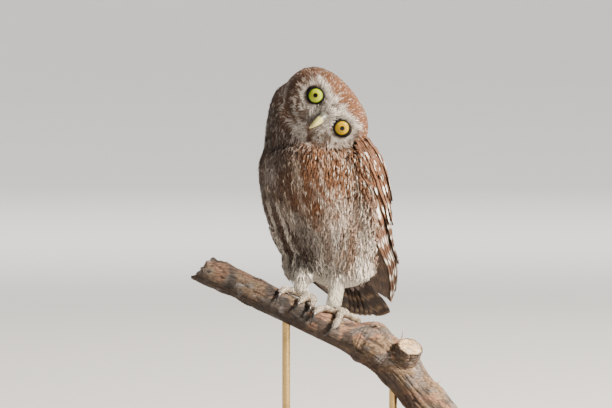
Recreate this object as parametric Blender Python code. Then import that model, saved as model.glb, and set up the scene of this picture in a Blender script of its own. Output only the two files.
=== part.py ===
"""Little owl perched on a cut branch: a life-size museum model on a plain display stand.

Metres, +Z up. The origin is the centre of the stand's underside. The branch runs along X and drops
towards +X. The owl stands across it, its breast towards -Y and turned a little towards -X, with its
face square to -Y and its head rolled over to its own left.

Three sets of coordinates are used. World is the frame above. The bird's frame has p forwards, q to
the bird's left and z up. The head's frame has e to the bird's left, u to the crown and f out of the
face.
"""

from math import cos, hypot, pi, radians, sin, sqrt

import bmesh
import bpy
from mathutils import Matrix, Vector

MM = 0.001
GAP = 0.3 * MM
UP = Vector((0, 0, 1))
SHARP_ANGLE = radians(35)

# Stand
BASE_LENGTH = 210 * MM
BASE_DEPTH = 150 * MM
BASE_THICKNESS = 12 * MM
BASE_CORNER = 30 * MM
BASE_EDGE = 1.5 * MM
ROD_RADIUS = 3.5 * MM
ROD_PLACES = (-42 * MM, 50 * MM)

# Branch stations: x, y, z of the centre line, then the radius
BRANCH = [
    [v * MM for v in row]
    for row in (
        (-114, 5, 181.5, 12.2),
        (-94, 4, 173, 12.5),
        (-77, 3, 165, 12.5),
        (-56, 2, 154.6, 12.3),
        (-38, 1, 145.9, 12.0),
        (-20, 0, 137.2, 12.0),
        (-2, 0, 129.0, 12.4),
        (13, 0, 122.5, 13.6),
        (27, -1, 116.4, 17.2),
        (42, -2, 106.6, 16.8),
        (56, -4, 93.6, 17.0),
        (69, -6, 78.6, 17.4),
        (84, -8, 61.6, 17.2),
        (99, -10, 44.4, 17.0),
    )
]
BRANCH_SIDES = 14
BRANCH_RINGS = 38
KNOT_X, KNOT_SWELL, KNOT_SPREAD = 31 * MM, 5.0 * MM, 11 * MM
COLLAR_X, COLLAR_SWELL, COLLAR_SPREAD = 52 * MM, 4.0 * MM, 10 * MM
STUB_X, STUB_RADIUS, STUB_LENGTH = 56 * MM, 11 * MM, 29 * MM
STUB_LEAN = Vector((0.30, -0.58, 0.76))

# Bird's frame in the world
BODY_YAW = radians(28)
BODY_PLACE = Vector((-10, 10, 0)) * MM
FORWARD = Vector((-sin(BODY_YAW), -cos(BODY_YAW), 0))
LEFT = Vector((cos(BODY_YAW), -sin(BODY_YAW), 0))

# Torso stations: z, p of the section's middle, then half width and half depth in front and behind
TORSO = [
    [v * MM for v in row]
    for row in (
        (166, -32.0, 15, 13, 14, 16),
        (171, -31.0, 26, 22, 23, 23),
        (178, -29.0, 35, 29.5, 32, 29),
        (188, -25.5, 43, 36.5, 39, 33),
        (200, -21.0, 49, 42, 44, 37),
        (220, -13.8, 53.5, 47, 47.5, 40),
        (240, -6.6, 55, 50, 48.5, 42),
        (258, 0.0, 54.5, 50, 48.5, 42),
        (271, 4.6, 52.5, 47.5, 47.5, 41.5),
        (281, 7.6, 48, 41.5, 44.5, 39),
        (289, 9.4, 40, 31.5, 38, 33),
        (295, 10.0, 27, 20, 27, 24),
    )
]
TORSO_SIDES = 28
TORSO_RINGS = 16
RUMP_PLACE, RUMP_SIZE = (-38, 0, 194), (22, 16, 30)
THIGH_PLACES = ((-9, 23, 188), (-9, -23, 188))
THIGH_SIZE = (17, 16, 21)

# Neck and head
# Along the neck: x, y, z, then half width and half depth
NECK = (
    (-17, 9, 268, 42, 34),
    (-20, 8, 280, 39.5, 34),
    (-23, 6, 290, 36.8, 32),
    (-25, 4, 301, 32.4, 30),
    (-25, 2, 312, 30.5, 27),
    (-24, 0, 323, 29.0, 25),
    (-23, -2, 333, 24.5, 21),
    (-21, -4, 341, 15.0, 13),
)
NECK_SIDES = 22
NECK_CUT = (Vector((-15, 2, 281)) * MM, Vector((-0.10, -0.25, 0.96)))
HEAD_PLACE = Vector((-7.5, -10, 316.9)) * MM
HEAD_ROLL, HEAD_YAW = radians(51), radians(2.5)
HEAD_WIDE, HEAD_UP, HEAD_DOWN, HEAD_FRONT, HEAD_BACK = (
    v * MM for v in (41.5, 27.5, 30.5, 25.5, 33)
)
HEAD_POWER = 2.3
HEAD_SIDES, HEAD_RINGS = 32, 18

# Eyes, lids and bill, in the head's frame
EYE_SIDE, EYE_HIGH, EYE_DEEP = 17.0 * MM, 1.8 * MM, 17.8 * MM
EYE_RADIUS, EYE_SPLAY = 8.4 * MM, radians(8)
LID_RADIUS, LID_THICK, LID_OUT = 7.1 * MM, 1.35 * MM, 4.7 * MM
LID_SIDES = (18, 5)
DISC_SIDE, DISC_HIGH, DISC_RADIUS = 15 * MM, -2 * MM, 21 * MM
BILL_SIDES, BILL_TRIM = 12, 21 * MM
# Along each mandible: u, f, half width, half thickness
UPPER_BILL = [
    [v * MM for v in row]
    for row in (
        (-1.5, 18.0, 3.6, 3.4),
        (-2.6, 24.5, 4.5, 4.3),
        (-4.8, 29.0, 4.8, 4.5),
        (-7.8, 31.6, 4.0, 3.9),
        (-11.2, 33.2, 3.3, 3.2),
        (-14.6, 33.6, 2.5, 2.5),
        (-17.4, 32.6, 1.6, 1.7),
        (-19.2, 31.0, 0.8, 0.9),
    )
]
LOWER_BILL = [
    [v * MM for v in row]
    for row in (
        (-9.8, 18.0, 3.2, 2.0),
        (-11.4, 25.5, 3.2, 1.9),
        (-14.0, 28.6, 2.4, 1.4),
        (-15.8, 29.6, 1.2, 0.8),
    )
]
NOSTRIL_SIDE, NOSTRIL_PLACE, NOSTRIL_RADIUS = 4.3 * MM, (-5.4, 30.6), 1.0 * MM

# Wing hull stations: z, p of the section's middle, half width and half depth behind
WING_HULL = [
    [v * MM for v in row]
    for row in (
        (136, -90.0, 18.0, 12.0),
        (152, -75.8, 26.0, 15.0),
        (163, -63.5, 34.0, 20.0),
        (175, -49.8, 41.0, 26.0),
        (187, -35.5, 46.5, 32.0),
        (200, -21.0, 49.0, 37.0),
        (220, -13.8, 49.5, 40.0),
        (240, -6.6, 49.5, 42.0),
        (258, 0.0, 49.5, 42.0),
        (275, 6.2, 48.0, 41.0),
        (292, 11.6, 42.0, 36.0),
    )
]
VANE_THICK = 0.6 * MM
# One tier a row: name, count, then for the first and the last feather the azimuth in degrees and z
# of the root and of the tip, then half width, lift off the hull, tilt and the roundness of the tip
TIERS = (
    ("primary", 5, (73, 242), (97, 240), (91, 150), (114, 178), 4.4, 1.0, 2.0, 0.30),
    ("secondary", 6, (92, 243), (157, 246), (109, 184), (168, 197), 6.4, 3.6, 1.7, 0.35),
    ("covert", 7, (77, 259), (157, 262), (85, 219), (163, 224), 6.9, 5.9, 1.5, 0.45),
    ("scapular", 5, (106, 279), (162, 280), (112, 244), (167, 245), 7.4, 8.0, 1.3, 0.50),
)
SPINED = ("primary", "secondary")
VANE_STEPS, ROOT_LIFT = 4, 1.8 * MM
WING_SHELL_LOW, WING_SHELL_HIGH = 230 * MM, 294 * MM
WING_SHELL_FRONT, WING_SHELL_BACK = 64, 172
WING_SHELL_SWELL, WING_SHELL_SINK = 5.2 * MM, 4.0 * MM
WING_SHELL_GRID = (12, 7)

# Tail
TAIL_ROOT, TAIL_SLOPE = Vector((-33, 0, 201)) * MM, radians(41)
TAIL_LENGTH, TAIL_ROUND = 88 * MM, 9 * MM
TAIL_PAIRS, TAIL_HALF_VANE = 6, 5.2 * MM
TAIL_SPREAD, TAIL_ROOT_SPREAD = 3.9 * MM, 1.3 * MM
TAIL_LAYER, TAIL_STEPS, TAIL_START = 1.1 * MM, 4, 6 * MM
TAIL_CORE, TAIL_CORE_PLACE = (15, 4.4, 21), (35 * MM, 0, -3.6 * MM)

# Legs and feet: for each foot, the place of its pad along the branch and its toes. A toe is a list of
# x, angle round the branch in degrees (90 on top, 0 to the front) and radius, and then its claw's end
LEG_SIDES, TOE_SIDES, CLAW_SIDES = 12, 7, 6
PAD_SIZE = (7.4, 6.4, 4.2)
TOE_BASE, TOE_END, CLAW_ROOT = 3.2 * MM, 2.7 * MM, 1.75 * MM
FEET = {
    "left": {
        "pad": (-1.5, 93),
        "leg": (
            (9.5, 6.0, 196, 9.5),
            (4.0, 2.5, 178, 7.2),
            (1.0, 1.0, 163, 6.2),
            (-1.5, -0.5, 150, 6.3),
        ),
        "toes": (
            ("inner", ((-4, 88), (-11, 78), (-17, 58), (-20.2, 34)), (-19.6, -16)),
            ("middle", ((-2, 85), (-1.6, 62), (-1.6, 38), (-2.4, 16)), (-7.0, -34)),
            ("outer", ((1, 93), (7, 97), (12.5, 112), (14.5, 134)), (12.0, 186)),
            ("hind", ((-3, 102), (-7, 120), (-8, 142), (-8, 158)), (-8.5, 212)),
        ),
    },
    "right": {
        "pad": (-29.5, 93),
        "leg": (
            (-24.0, 12.0, 196, 9.5),
            (-26.5, 7.0, 182, 7.0),
            (-28.5, 3.0, 171, 6.0),
            (-29.5, 1.0, 162.5, 6.2),
        ),
        "toes": (
            ("inner", ((-28, 88), (-25.8, 70), (-24.8, 54)), (-25.6, 6)),
            ("middle", ((-31, 86), (-32.6, 68), (-34.0, 46)), (-35.6, -4)),
            ("outer", ((-33, 88), (-41, 84), (-48.2, 70), (-50.6, 44)), (-51.0, -10)),
            ("hind", ((-30, 102), (-33, 120), (-34, 142), (-34, 158)), (-34.5, 212)),
        ),
    },
}

PAINTS = {
    "brown_feathers": ((0.23, 0.14, 0.09), 0.85, 0.0),
    "breast_feathers": ((0.48, 0.38, 0.31), 0.9, 0.0),
    "head_feathers": ((0.36, 0.22, 0.15), 0.9, 0.0),
    "leg_feathers": ((0.78, 0.68, 0.55), 0.9, 0.0),
    "toe_skin": ((0.42, 0.36, 0.29), 0.8, 0.0),
    "claw_horn": ((0.05, 0.045, 0.045), 0.35, 0.0),
    "bill_horn": ((0.66, 0.66, 0.42), 0.4, 0.0),
    "iris": ((0.74, 0.66, 0.06), 0.1, 0.0),
    "bark": ((0.33, 0.25, 0.20), 0.85, 0.0),
    "stand_wood": ((0.20, 0.12, 0.07), 0.5, 0.0),
    "stand_metal": ((0.55, 0.48, 0.32), 0.35, 1.0),
}


def ramp(value, low, high):
    """0 below low, 1 above high and smooth between."""
    t = min(1.0, max(0.0, (value - low) / (high - low)))
    return t * t * (3 - 2 * t)


def bump(distance, width):
    """A bell of height 1 at no distance."""
    return 2.718 ** (-((distance / width) ** 2))


def read(table, key):
    """The table's other columns at this key, on a smooth curve through its rows."""
    keys = [row[0] for row in table]
    key = min(max(key, keys[0]), keys[-1])
    i = next(n for n in range(len(keys) - 1) if key <= keys[n + 1])
    span = keys[i + 1] - keys[i]
    t = (key - keys[i]) / span

    def slope(n, column):
        before, after = max(n - 1, 0), min(n + 1, len(keys) - 1)
        return (table[after][column] - table[before][column]) / (keys[after] - keys[before])

    def value(column):
        a, b = table[i][column], table[i + 1][column]
        straight = (2 * t**3 - 3 * t**2 + 1) * a + (3 * t**2 - 2 * t**3) * b
        bent = (t**3 - 2 * t**2 + t) * slope(i, column) + (t**3 - t**2) * slope(i + 1, column)
        return straight + span * bent

    return [value(column) for column in range(1, len(table[0]))]


def bird(p, q, z):
    """A point of the bird's frame in the world."""
    return BODY_PLACE + FORWARD * p + LEFT * q + UP * z


HEAD_U = Vector((sin(HEAD_ROLL), 0, cos(HEAD_ROLL)))
HEAD_F = Matrix.Rotation(HEAD_YAW, 3, HEAD_U) @ Vector((0, -1, 0))
HEAD_E = HEAD_U.cross(HEAD_F)


def head(e, u, f):
    """A point of the head's frame in the world."""
    return HEAD_PLACE + HEAD_E * e + HEAD_U * u + HEAD_F * f


def turned(*axes):
    """The rotation whose columns are these three unit vectors."""
    return Matrix(axes).transposed().to_4x4()


def paint(name):
    colour, roughness, metallic = PAINTS[name]
    material = bpy.data.materials.get(name) or bpy.data.materials.new(name)
    material.use_nodes = True
    shader = material.node_tree.nodes["Principled BSDF"]
    shader.inputs["Base Color"].default_value = (*colour, 1)
    shader.inputs["Roughness"].default_value = roughness
    shader.inputs["Metallic"].default_value = metallic
    return material


def as_object(name, shape, material, collection):
    """A bmesh made an object of this collection, its faces pointing out."""
    bmesh.ops.recalc_face_normals(shape, faces=shape.faces)
    if shape.calc_volume(signed=True) < 0:
        bmesh.ops.reverse_faces(shape, faces=shape.faces)
    mesh = bpy.data.meshes.new(name)
    shape.to_mesh(mesh)
    shape.free()
    mesh.materials.append(paint(material))
    obj = bpy.data.objects.new(name, mesh)
    collection.objects.link(obj)
    return obj


def lofted(rings, pole_start=None, pole_end=None):
    """A closed skin through rings of points. Its ends close on a pole, or else on the ring's middle."""
    shape = bmesh.new()
    rows = [[shape.verts.new(point) for point in ring] for ring in rings]
    count = len(rows[0])
    for low, high in zip(rows, rows[1:]):
        for i in range(count):
            j = (i + 1) % count
            shape.faces.new((low[i], low[j], high[j], high[i]))
    for row, pole in ((rows[0], pole_start), (rows[-1], pole_end)):
        middle = sum((v.co for v in row), Vector()) / count
        tip = shape.verts.new(pole if pole is not None else middle)
        for i in range(count):
            shape.faces.new((row[i], row[(i + 1) % count], tip))
    return shape


def tube(points, radii, sides, side_hint=UP, rounded=0.55):
    """A tube along points, with a radius, or a pair of half sizes, at each. Its ends are domed."""
    sizes = [size if isinstance(size, tuple) else (size, size) for size in radii]
    rings = []
    for i, (point, (wide, thick)) in enumerate(zip(points, sizes)):
        ahead = points[min(i + 1, len(points) - 1)] - points[max(i - 1, 0)]
        ahead.normalize()
        across = ahead.cross(side_hint).normalized()
        over = across.cross(ahead)
        turns = [2 * pi * k / sides for k in range(sides)]
        rings.append([point + across * wide * cos(a) + over * thick * sin(a) for a in turns])
    first = points[0] + (points[0] - points[1]).normalized() * min(sizes[0]) * rounded
    last = points[-1] + (points[-1] - points[-2]).normalized() * min(sizes[-1]) * rounded
    return lofted(rings, first, last)


def ball(place, sizes, segments=20, rings=12, rotation=None):
    """An ellipsoid of these half sizes, in millimetres."""
    shape = bmesh.new()
    bmesh.ops.create_uvsphere(shape, u_segments=segments, v_segments=rings, radius=1)
    matrix = Matrix.Translation(place) @ (rotation or Matrix())
    matrix = matrix @ Matrix.Diagonal((*(s * MM for s in sizes), 1))
    bmesh.ops.transform(shape, matrix=matrix, verts=shape.verts)
    return shape


def replace_mesh(obj):
    """Applies the object's modifiers."""
    graph = bpy.context.evaluated_depsgraph_get()
    mesh = bpy.data.meshes.new_from_object(obj.evaluated_get(graph))
    obj.modifiers.clear()
    obj.data = mesh


def keep_largest(obj):
    """Keeps the closed surface that holds the most, and drops loose scraps and sealed hollows."""
    shape = bmesh.new()
    shape.from_mesh(obj.data)
    bmesh.ops.remove_doubles(shape, verts=shape.verts, dist=0.002 * MM)
    bmesh.ops.triangulate(shape, faces=shape.faces)
    waiting = set(shape.faces)
    shells = []
    while waiting:
        edge_of_search = [waiting.pop()]
        shell = list(edge_of_search)
        while edge_of_search:
            face = edge_of_search.pop()
            for edge in face.edges:
                for other in edge.link_faces:
                    if other in waiting:
                        waiting.remove(other)
                        edge_of_search.append(other)
                        shell.append(other)
        shells.append(shell)

    def held(shell):
        return abs(sum(f.verts[0].co.dot(f.verts[1].co.cross(f.verts[2].co)) for f in shell))

    largest = max(shells, key=held)
    for shell in shells:
        if shell is not largest:
            bmesh.ops.delete(shape, geom=shell, context="FACES")
    loose = [v for v in shape.verts if not v.link_faces]
    bmesh.ops.delete(shape, geom=loose, context="VERTS")
    shape.to_mesh(obj.data)
    shape.free()


def fuse(obj, pieces):
    """Joins closed pieces to the object by one union, and removes them."""
    group = bpy.data.collections.new("pieces")
    bpy.context.scene.collection.children.link(group)
    for piece in pieces:
        for holder in list(piece.users_collection):
            holder.objects.unlink(piece)
        group.objects.link(piece)
    union = obj.modifiers.new("union", "BOOLEAN")
    union.operation = "UNION"
    union.operand_type = "COLLECTION"
    union.solver = "EXACT"
    union.collection = group
    replace_mesh(obj)
    for piece in pieces:
        bpy.data.objects.remove(piece)
    bpy.data.collections.remove(group)
    keep_largest(obj)


def grown(obj, by):
    """A copy of the object, larger by this much all round, to cut its neighbours with."""
    shape = bmesh.new()
    shape.from_mesh(obj.data)
    bmesh.ops.remove_doubles(shape, verts=shape.verts, dist=0.05 * MM)
    shape.normal_update()
    for vert in shape.verts:
        vert.co += vert.normal * by
    mesh = bpy.data.meshes.new(obj.name + "_grown")
    shape.to_mesh(mesh)
    shape.free()
    copy = bpy.data.objects.new(obj.name + "_grown", mesh)
    bpy.context.scene.collection.objects.link(copy)
    return copy


def subtract(obj, cutter):
    """Cuts the cutter from the object, and removes the cutter."""
    cut = obj.modifiers.new("cut", "BOOLEAN")
    cut.operation = "DIFFERENCE"
    cut.solver = "EXACT"
    cut.object = cutter
    replace_mesh(obj)
    bpy.data.objects.remove(cutter)
    keep_largest(obj)


def clear_of(obj, neighbours):
    """Cuts the object back to a gap off each of these."""
    for neighbour in neighbours:
        subtract(obj, grown(neighbour, GAP))


def halved(obj, name, place, normal, collection, keep_above):
    """A copy of the object on one side of a plane, half a gap off it and closed there."""
    shape = bmesh.new()
    shape.from_mesh(obj.data)
    side = 1 if keep_above else -1
    found = bmesh.ops.bisect_plane(
        shape,
        geom=shape.verts[:] + shape.edges[:] + shape.faces[:],
        dist=1e-7,
        plane_co=place + normal.normalized() * side * GAP / 2,
        plane_no=normal,
        clear_inner=keep_above,
        clear_outer=not keep_above,
    )
    cut_edges = [g for g in found["geom_cut"] if isinstance(g, bmesh.types.BMEdge)]
    bmesh.ops.contextual_create(shape, geom=cut_edges)
    bmesh.ops.triangulate(shape, faces=[f for f in shape.faces if len(f.verts) > 4])
    half = as_object(name, shape, obj.data.materials[0].name, collection)
    keep_largest(half)
    return half


def branch_at(x):
    """Centre, radius, and the directions along, up and to the front of the branch at this x."""
    y, z, radius = read(BRANCH, x)
    step = 1 * MM
    y2, z2, _ = read(BRANCH, x + step)
    y1, z1, _ = read(BRANCH, x - step)
    along = Vector((2 * step, y2 - y1, z2 - z1)).normalized()
    front = Vector((0, -1, 0))
    over = (along.cross(front)).normalized()
    if over.z < 0:
        over.negate()
    front = (front - along * front.dot(along)).normalized()
    return Vector((x, y, z)), radius, along, over, front


def on_branch(x, angle, height):
    """A point this high off the bark, at an angle in degrees round the branch."""
    centre, radius, _, over, front = branch_at(x)
    turn = radians(angle)
    return centre + (front * cos(turn) + over * sin(turn)) * (radius + bark_swell(x, angle) + height)


def bark_swell(x, angle):
    """How far the knot, the collar of the stub and the bark's lumps stand off the branch's radius."""
    def beside(middle):
        return min(abs(angle - middle), abs(angle - middle - 360))

    knot = KNOT_SWELL * bump(x - KNOT_X, KNOT_SPREAD) * bump(beside(88), 62)
    collar = COLLAR_SWELL * bump(x - COLLAR_X, COLLAR_SPREAD) * bump(beside(62), 70)
    clear_of_feet = 1 - ramp(x, -66 * MM, -58 * MM) * (1 - ramp(x, 17 * MM, 24 * MM))
    lumps = sin(x * 210 + radians(angle) * 2) + 0.6 * sin(x * 390 - radians(angle) * 3 + 1)
    return knot + collar + 0.55 * MM * lumps * clear_of_feet


def perch(collection):
    """The branch with its broken upper end, its cut lower end and the sawn stub of a side twig."""
    first, last = BRANCH[0][0], BRANCH[-1][0]
    rings = []
    for n in range(BRANCH_RINGS):
        x = first + (last - first) * n / (BRANCH_RINGS - 1)
        centre, radius, along, over, front = branch_at(x)
        ring = []
        for k in range(BRANCH_SIDES):
            angle = 360 * k / BRANCH_SIDES
            turn = radians(angle)
            out = front * cos(turn) + over * sin(turn)
            point = centre + out * (radius + bark_swell(x, angle))
            if n == 0:
                point += along * (7 * sin(turn) + 1.5 * cos(3 * turn)) * MM
            elif n == 1:
                point += along * 3.5 * sin(turn) * MM
            ring.append(point)
        rings.append(ring)
    wood = as_object("perch", lofted(rings), "bark", collection)
    centre, radius, _, _, _ = branch_at(STUB_X)
    lean = STUB_LEAN.normalized()
    reach = [centre + lean * STUB_LENGTH * share for share in (0.1, 0.55, 0.8, 1.0)]
    widths = [STUB_RADIUS * share for share in (1.25, 1.12, 1.0, 0.97)]
    stub = as_object("stub", tube(reach, widths, 14, Vector((0, 1, 0)), rounded=0), "bark", collection)
    fuse(wood, [stub])
    return wood


def stand(collection, wood):
    """A flat base with rounded corners, and two rods that end under the branch."""
    shape = bmesh.new()
    bmesh.ops.create_cube(shape, size=1)
    scale = Matrix.Diagonal((BASE_LENGTH, BASE_DEPTH, BASE_THICKNESS, 1))
    place = Matrix.Translation(UP * BASE_THICKNESS / 2)
    bmesh.ops.transform(shape, matrix=place @ scale, verts=shape.verts)
    upright = [e for e in shape.edges if abs(e.verts[0].co.z - e.verts[1].co.z) > BASE_THICKNESS / 2]
    bmesh.ops.bevel(shape, geom=upright, offset=BASE_CORNER, segments=7, profile=0.5, affect="EDGES")
    rim = [e for e in shape.edges if min(v.co.z for v in e.verts) > BASE_THICKNESS * 0.9]
    rim = [e for e in rim if len(e.link_faces) == 2 and e.calc_face_angle() > 0.5]
    bmesh.ops.bevel(shape, geom=rim, offset=BASE_EDGE, segments=2, profile=0.5, affect="EDGES")
    as_object("stand_base", shape, "stand_wood", collection)
    for side, x in zip(("left", "right"), ROD_PLACES):
        centre, _, _, _, _ = branch_at(x)
        shape = bmesh.new()
        low = BASE_THICKNESS + GAP
        length = centre.z - low
        bmesh.ops.create_cone(
            shape, cap_ends=True, segments=20, radius1=ROD_RADIUS, radius2=ROD_RADIUS, depth=length
        )
        middle = Vector((x, centre.y, low + length / 2))
        bmesh.ops.translate(shape, vec=middle, verts=shape.verts)
        rod = as_object("stand_rod_" + side, shape, "stand_metal", collection)
        subtract(rod, grown(wood, GAP))


def torso_point(z, azimuth):
    """A point on the torso's section at this height. The azimuth is 0 ahead and pi/2 to the left."""
    p, wide_front, deep_front, wide_back, deep_back = read(TORSO, z)
    back = ramp(abs(azimuth), radians(55), radians(100))
    wide = wide_front + (wide_back - wide_front) * back
    deep = deep_front if cos(azimuth) > 0 else deep_back
    return bird(p + deep * cos(azimuth), wide * sin(azimuth), z)


def body_core(collection):
    """Torso and neck in one skin, before they are parted."""
    low, high = TORSO[0][0], TORSO[-1][0]
    rings = []
    for n in range(TORSO_RINGS):
        share = (1 - cos(pi * n / (TORSO_RINGS - 1))) / 2
        z = low + (high - low) * (0.35 * share + 0.65 * n / (TORSO_RINGS - 1))
        turns = [2 * pi * k / TORSO_SIDES - pi for k in range(TORSO_SIDES)]
        rings.append([torso_point(z, turn) for turn in turns])
    bottom = bird(TORSO[0][1], 0, low - 3 * MM)
    top = bird(TORSO[-1][1], 0, high + 4 * MM)
    torso = as_object("torso", lofted(rings, bottom, top), "breast_feathers", collection)
    down_tail = Matrix.Rotation(TAIL_SLOPE, 4, LEFT) @ turned(LEFT, FORWARD, UP)
    lobes = [ball(bird(*(v * MM for v in RUMP_PLACE)), RUMP_SIZE, 18, 10, down_tail)]
    for place in THIGH_PLACES:
        lobes.append(ball(bird(*(v * MM for v in place)), THIGH_SIZE, 16, 10, turned(LEFT, FORWARD, UP)))
    stations = [[v * MM for v in row] for row in NECK]
    rings = [(row[3], row[4]) for row in stations]
    lobes.append(tube([Vector(row[:3]) for row in stations], rings, NECK_SIDES, Vector((0, 1, 0))))
    fuse(torso, [as_object("lobe", lobe, "breast_feathers", collection) for lobe in lobes])
    return torso


def head_shape():
    """The head's feathered outline: a broad, flat-faced dome with discs, hollows and brows."""
    rings = []
    for n in range(1, HEAD_RINGS):
        share = n / HEAD_RINGS
        tilt = pi * (0.75 * share + 0.25 * share * share)
        ring = []
        for k in range(HEAD_SIDES):
            turn = 2 * pi * k / HEAD_SIDES
            e, u, f = sin(tilt) * cos(turn), sin(tilt) * sin(turn), cos(tilt)
            tall = HEAD_UP if u > 0 else HEAD_DOWN
            deep = HEAD_FRONT if f > 0 else HEAD_BACK
            sizes = (abs(e) / HEAD_WIDE, abs(u) / tall, abs(f) / deep)
            reach = sum(s**HEAD_POWER for s in sizes) ** (-1 / HEAD_POWER)
            ring.append(face_relief(e * reach, u * reach, f * reach))
        rings.append([head(*point) for point in ring])
    front, back = face_relief(0, 0, HEAD_FRONT), (0, 0, -HEAD_BACK)
    return lofted(rings, head(*front), head(*back))


def face_relief(e, u, f):
    """Moves a point of the head's dome for the hollows round the eyes, the brows and the discs' rims."""
    if f <= 0:
        return e, u, f
    facing = ramp(f, 4 * MM, 18 * MM)
    from_eye = hypot(abs(e) - EYE_SIDE, u - EYE_HIGH)
    from_disc = abs(hypot(abs(e) - DISC_SIDE, u - DISC_HIGH) - DISC_RADIUS)
    brow_line = EYE_HIGH + 9.8 * MM + 0.22 * (abs(e) - EYE_SIDE)
    relief = -2.6 * bump(from_eye, 9 * MM)
    brow = ramp(abs(e), 1 * MM, 8 * MM) * (1 - ramp(abs(e), 27 * MM, 34 * MM))
    relief += 2.2 * brow * bump(u - brow_line, 3.6 * MM)
    relief += 1.1 * bump(from_disc, 3.5 * MM) * (1 - ramp(u, 4 * MM, 9 * MM))
    relief += 1.6 * bump(hypot(e, u + 5 * MM), 6 * MM)
    return e, u, f + relief * facing * MM


def eye_centre(side):
    return head(side * EYE_SIDE, EYE_HIGH, EYE_DEEP)


def eye_axis(side):
    return (HEAD_F * cos(EYE_SPLAY) + HEAD_E * side * sin(EYE_SPLAY)).normalized()


def lid_ring(side):
    """The rim of the lids round the eye, as a ring of round section."""
    axis = eye_axis(side)
    over = (HEAD_U - axis * HEAD_U.dot(axis)).normalized()
    across = over.cross(axis)
    middle = eye_centre(side) + axis * LID_OUT
    shape = bmesh.new()
    around, about = LID_SIDES
    rows = []
    for k in range(around):
        turn = 2 * pi * k / around
        out = across * cos(turn) + over * sin(turn)
        row = []
        for j in range(about):
            angle = 2 * pi * j / about
            offset = out * (LID_RADIUS + LID_THICK * cos(angle)) + axis * LID_THICK * sin(angle)
            row.append(shape.verts.new(middle + offset))
        rows.append(row)
    for k in range(around):
        low, high = rows[k], rows[(k + 1) % around]
        for j in range(about):
            i = (j + 1) % about
            shape.faces.new((low[j], low[i], high[i], high[j]))
    return shape


def mandible(name, stations, collection):
    """One half of the bill, curved along its own stations."""
    points = [head(0, u, f) for u, f, _, _ in stations]
    sizes = [(wide, thick) for _, _, wide, thick in stations]
    return as_object(name, tube(points, sizes, BILL_SIDES, HEAD_F, rounded=0.8), "bill_horn", collection)


def face_parts(collection, head_obj):
    """Eyes in their sockets, lids, and the two halves of the bill with nostrils."""
    for label, side in (("left", 1), ("right", -1)):
        lids = as_object("lids", lid_ring(side), "head_feathers", collection)
        fuse(head_obj, [lids])
        socket_size = (EYE_RADIUS + GAP) / MM
        look = eye_axis(side).to_track_quat("Z", "Y").to_matrix().to_4x4()
        shape = ball(eye_centre(side), (socket_size,) * 3, 16, 10, look)
        subtract(head_obj, as_object("socket", shape, "iris", collection))
        size = EYE_RADIUS / MM
        as_object("eye_" + label, ball(eye_centre(side), (size,) * 3, 16, 10, look), "iris", collection)
    upper = mandible("bill_upper", UPPER_BILL, collection)
    for side in (1, -1):
        u, f = (v * MM for v in NOSTRIL_PLACE)
        pit = ball(head(side * NOSTRIL_SIDE, u, f), (NOSTRIL_RADIUS / MM,) * 3, 10, 6)
        subtract(upper, as_object("nostril", pit, "bill_horn", collection))
    lower = mandible("bill_lower", LOWER_BILL, collection)
    subtract(lower, grown(upper, GAP))
    for jaw in (upper, lower):
        keep_front(jaw)
        subtract(jaw, grown(head_obj, GAP))


def keep_front(jaw):
    """Trims the hidden root of a mandible, so that what the head leaves of it is its outer length."""
    shape = bmesh.new()
    shape.from_mesh(jaw.data)
    found = bmesh.ops.bisect_plane(
        shape,
        geom=shape.verts[:] + shape.edges[:] + shape.faces[:],
        plane_co=head(0, 0, BILL_TRIM),
        plane_no=HEAD_F,
        clear_inner=True,
    )
    edges = [g for g in found["geom_cut"] if isinstance(g, bmesh.types.BMEdge)]
    bmesh.ops.contextual_create(shape, geom=edges)
    bmesh.ops.triangulate(shape, faces=[f for f in shape.faces if len(f.verts) > 4])
    shape.to_mesh(jaw.data)
    shape.free()


def hull_point(side, azimuth, z, lift):
    """A point on the folded wing's hull. The azimuth is in degrees, 90 square to the side."""
    p, wide, deep = read(WING_HULL, z)
    turn = radians(azimuth)
    return bird(p + (deep + lift) * cos(turn), side * (wide + lift) * sin(turn), z)


def vane(side, root, tip, half_width, lift, tilt, roundness, spined):
    """A feather's vane laid on the wing's hull, its root sunk in and its front edge lifted by tilt."""
    rows = []
    for n in range(VANE_STEPS + 1):
        share = n / VANE_STEPS
        azimuth, z = between(root, tip, share)
        height = ROOT_LIFT + (lift - ROOT_LIFT) * ramp(share, 0.0, 0.3)
        middle = hull_point(side, azimuth, z, height)
        further = between(root, tip, share + 0.02)
        along = (hull_point(side, *further, height) - middle).normalized()
        backward = hull_point(side, azimuth + 2, z, height) - middle
        across = (backward - along * backward.dot(along)).normalized()
        out = across.cross(along).normalized()
        if out.dot(middle - bird(read(WING_HULL, z)[0], 0, z)) < 0:
            out.negate()
        closing = max(0.0, (share - (1 - roundness)) / roundness)
        width = half_width * (0.6 + 0.4 * ramp(share, 0.2, 0.6))
        width *= sqrt(max(0.0, 1 - closing**2.2)) * 0.84 + 0.16
        lifted = tilt * ramp(share, 0.15, 0.65)
        edges = [(-width, lifted), (width, 0.0)]
        if spined:
            edges.insert(1, (0.0, lifted * 0.5 + 0.2 * MM))
        rows.append([middle + across * side_step + out * rise for side_step, rise in edges])
        rows[-1].append(out * VANE_THICK * (1 - 0.2 * share))
    return plate([row[:-1] for row in rows], [row[-1] for row in rows])


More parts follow.
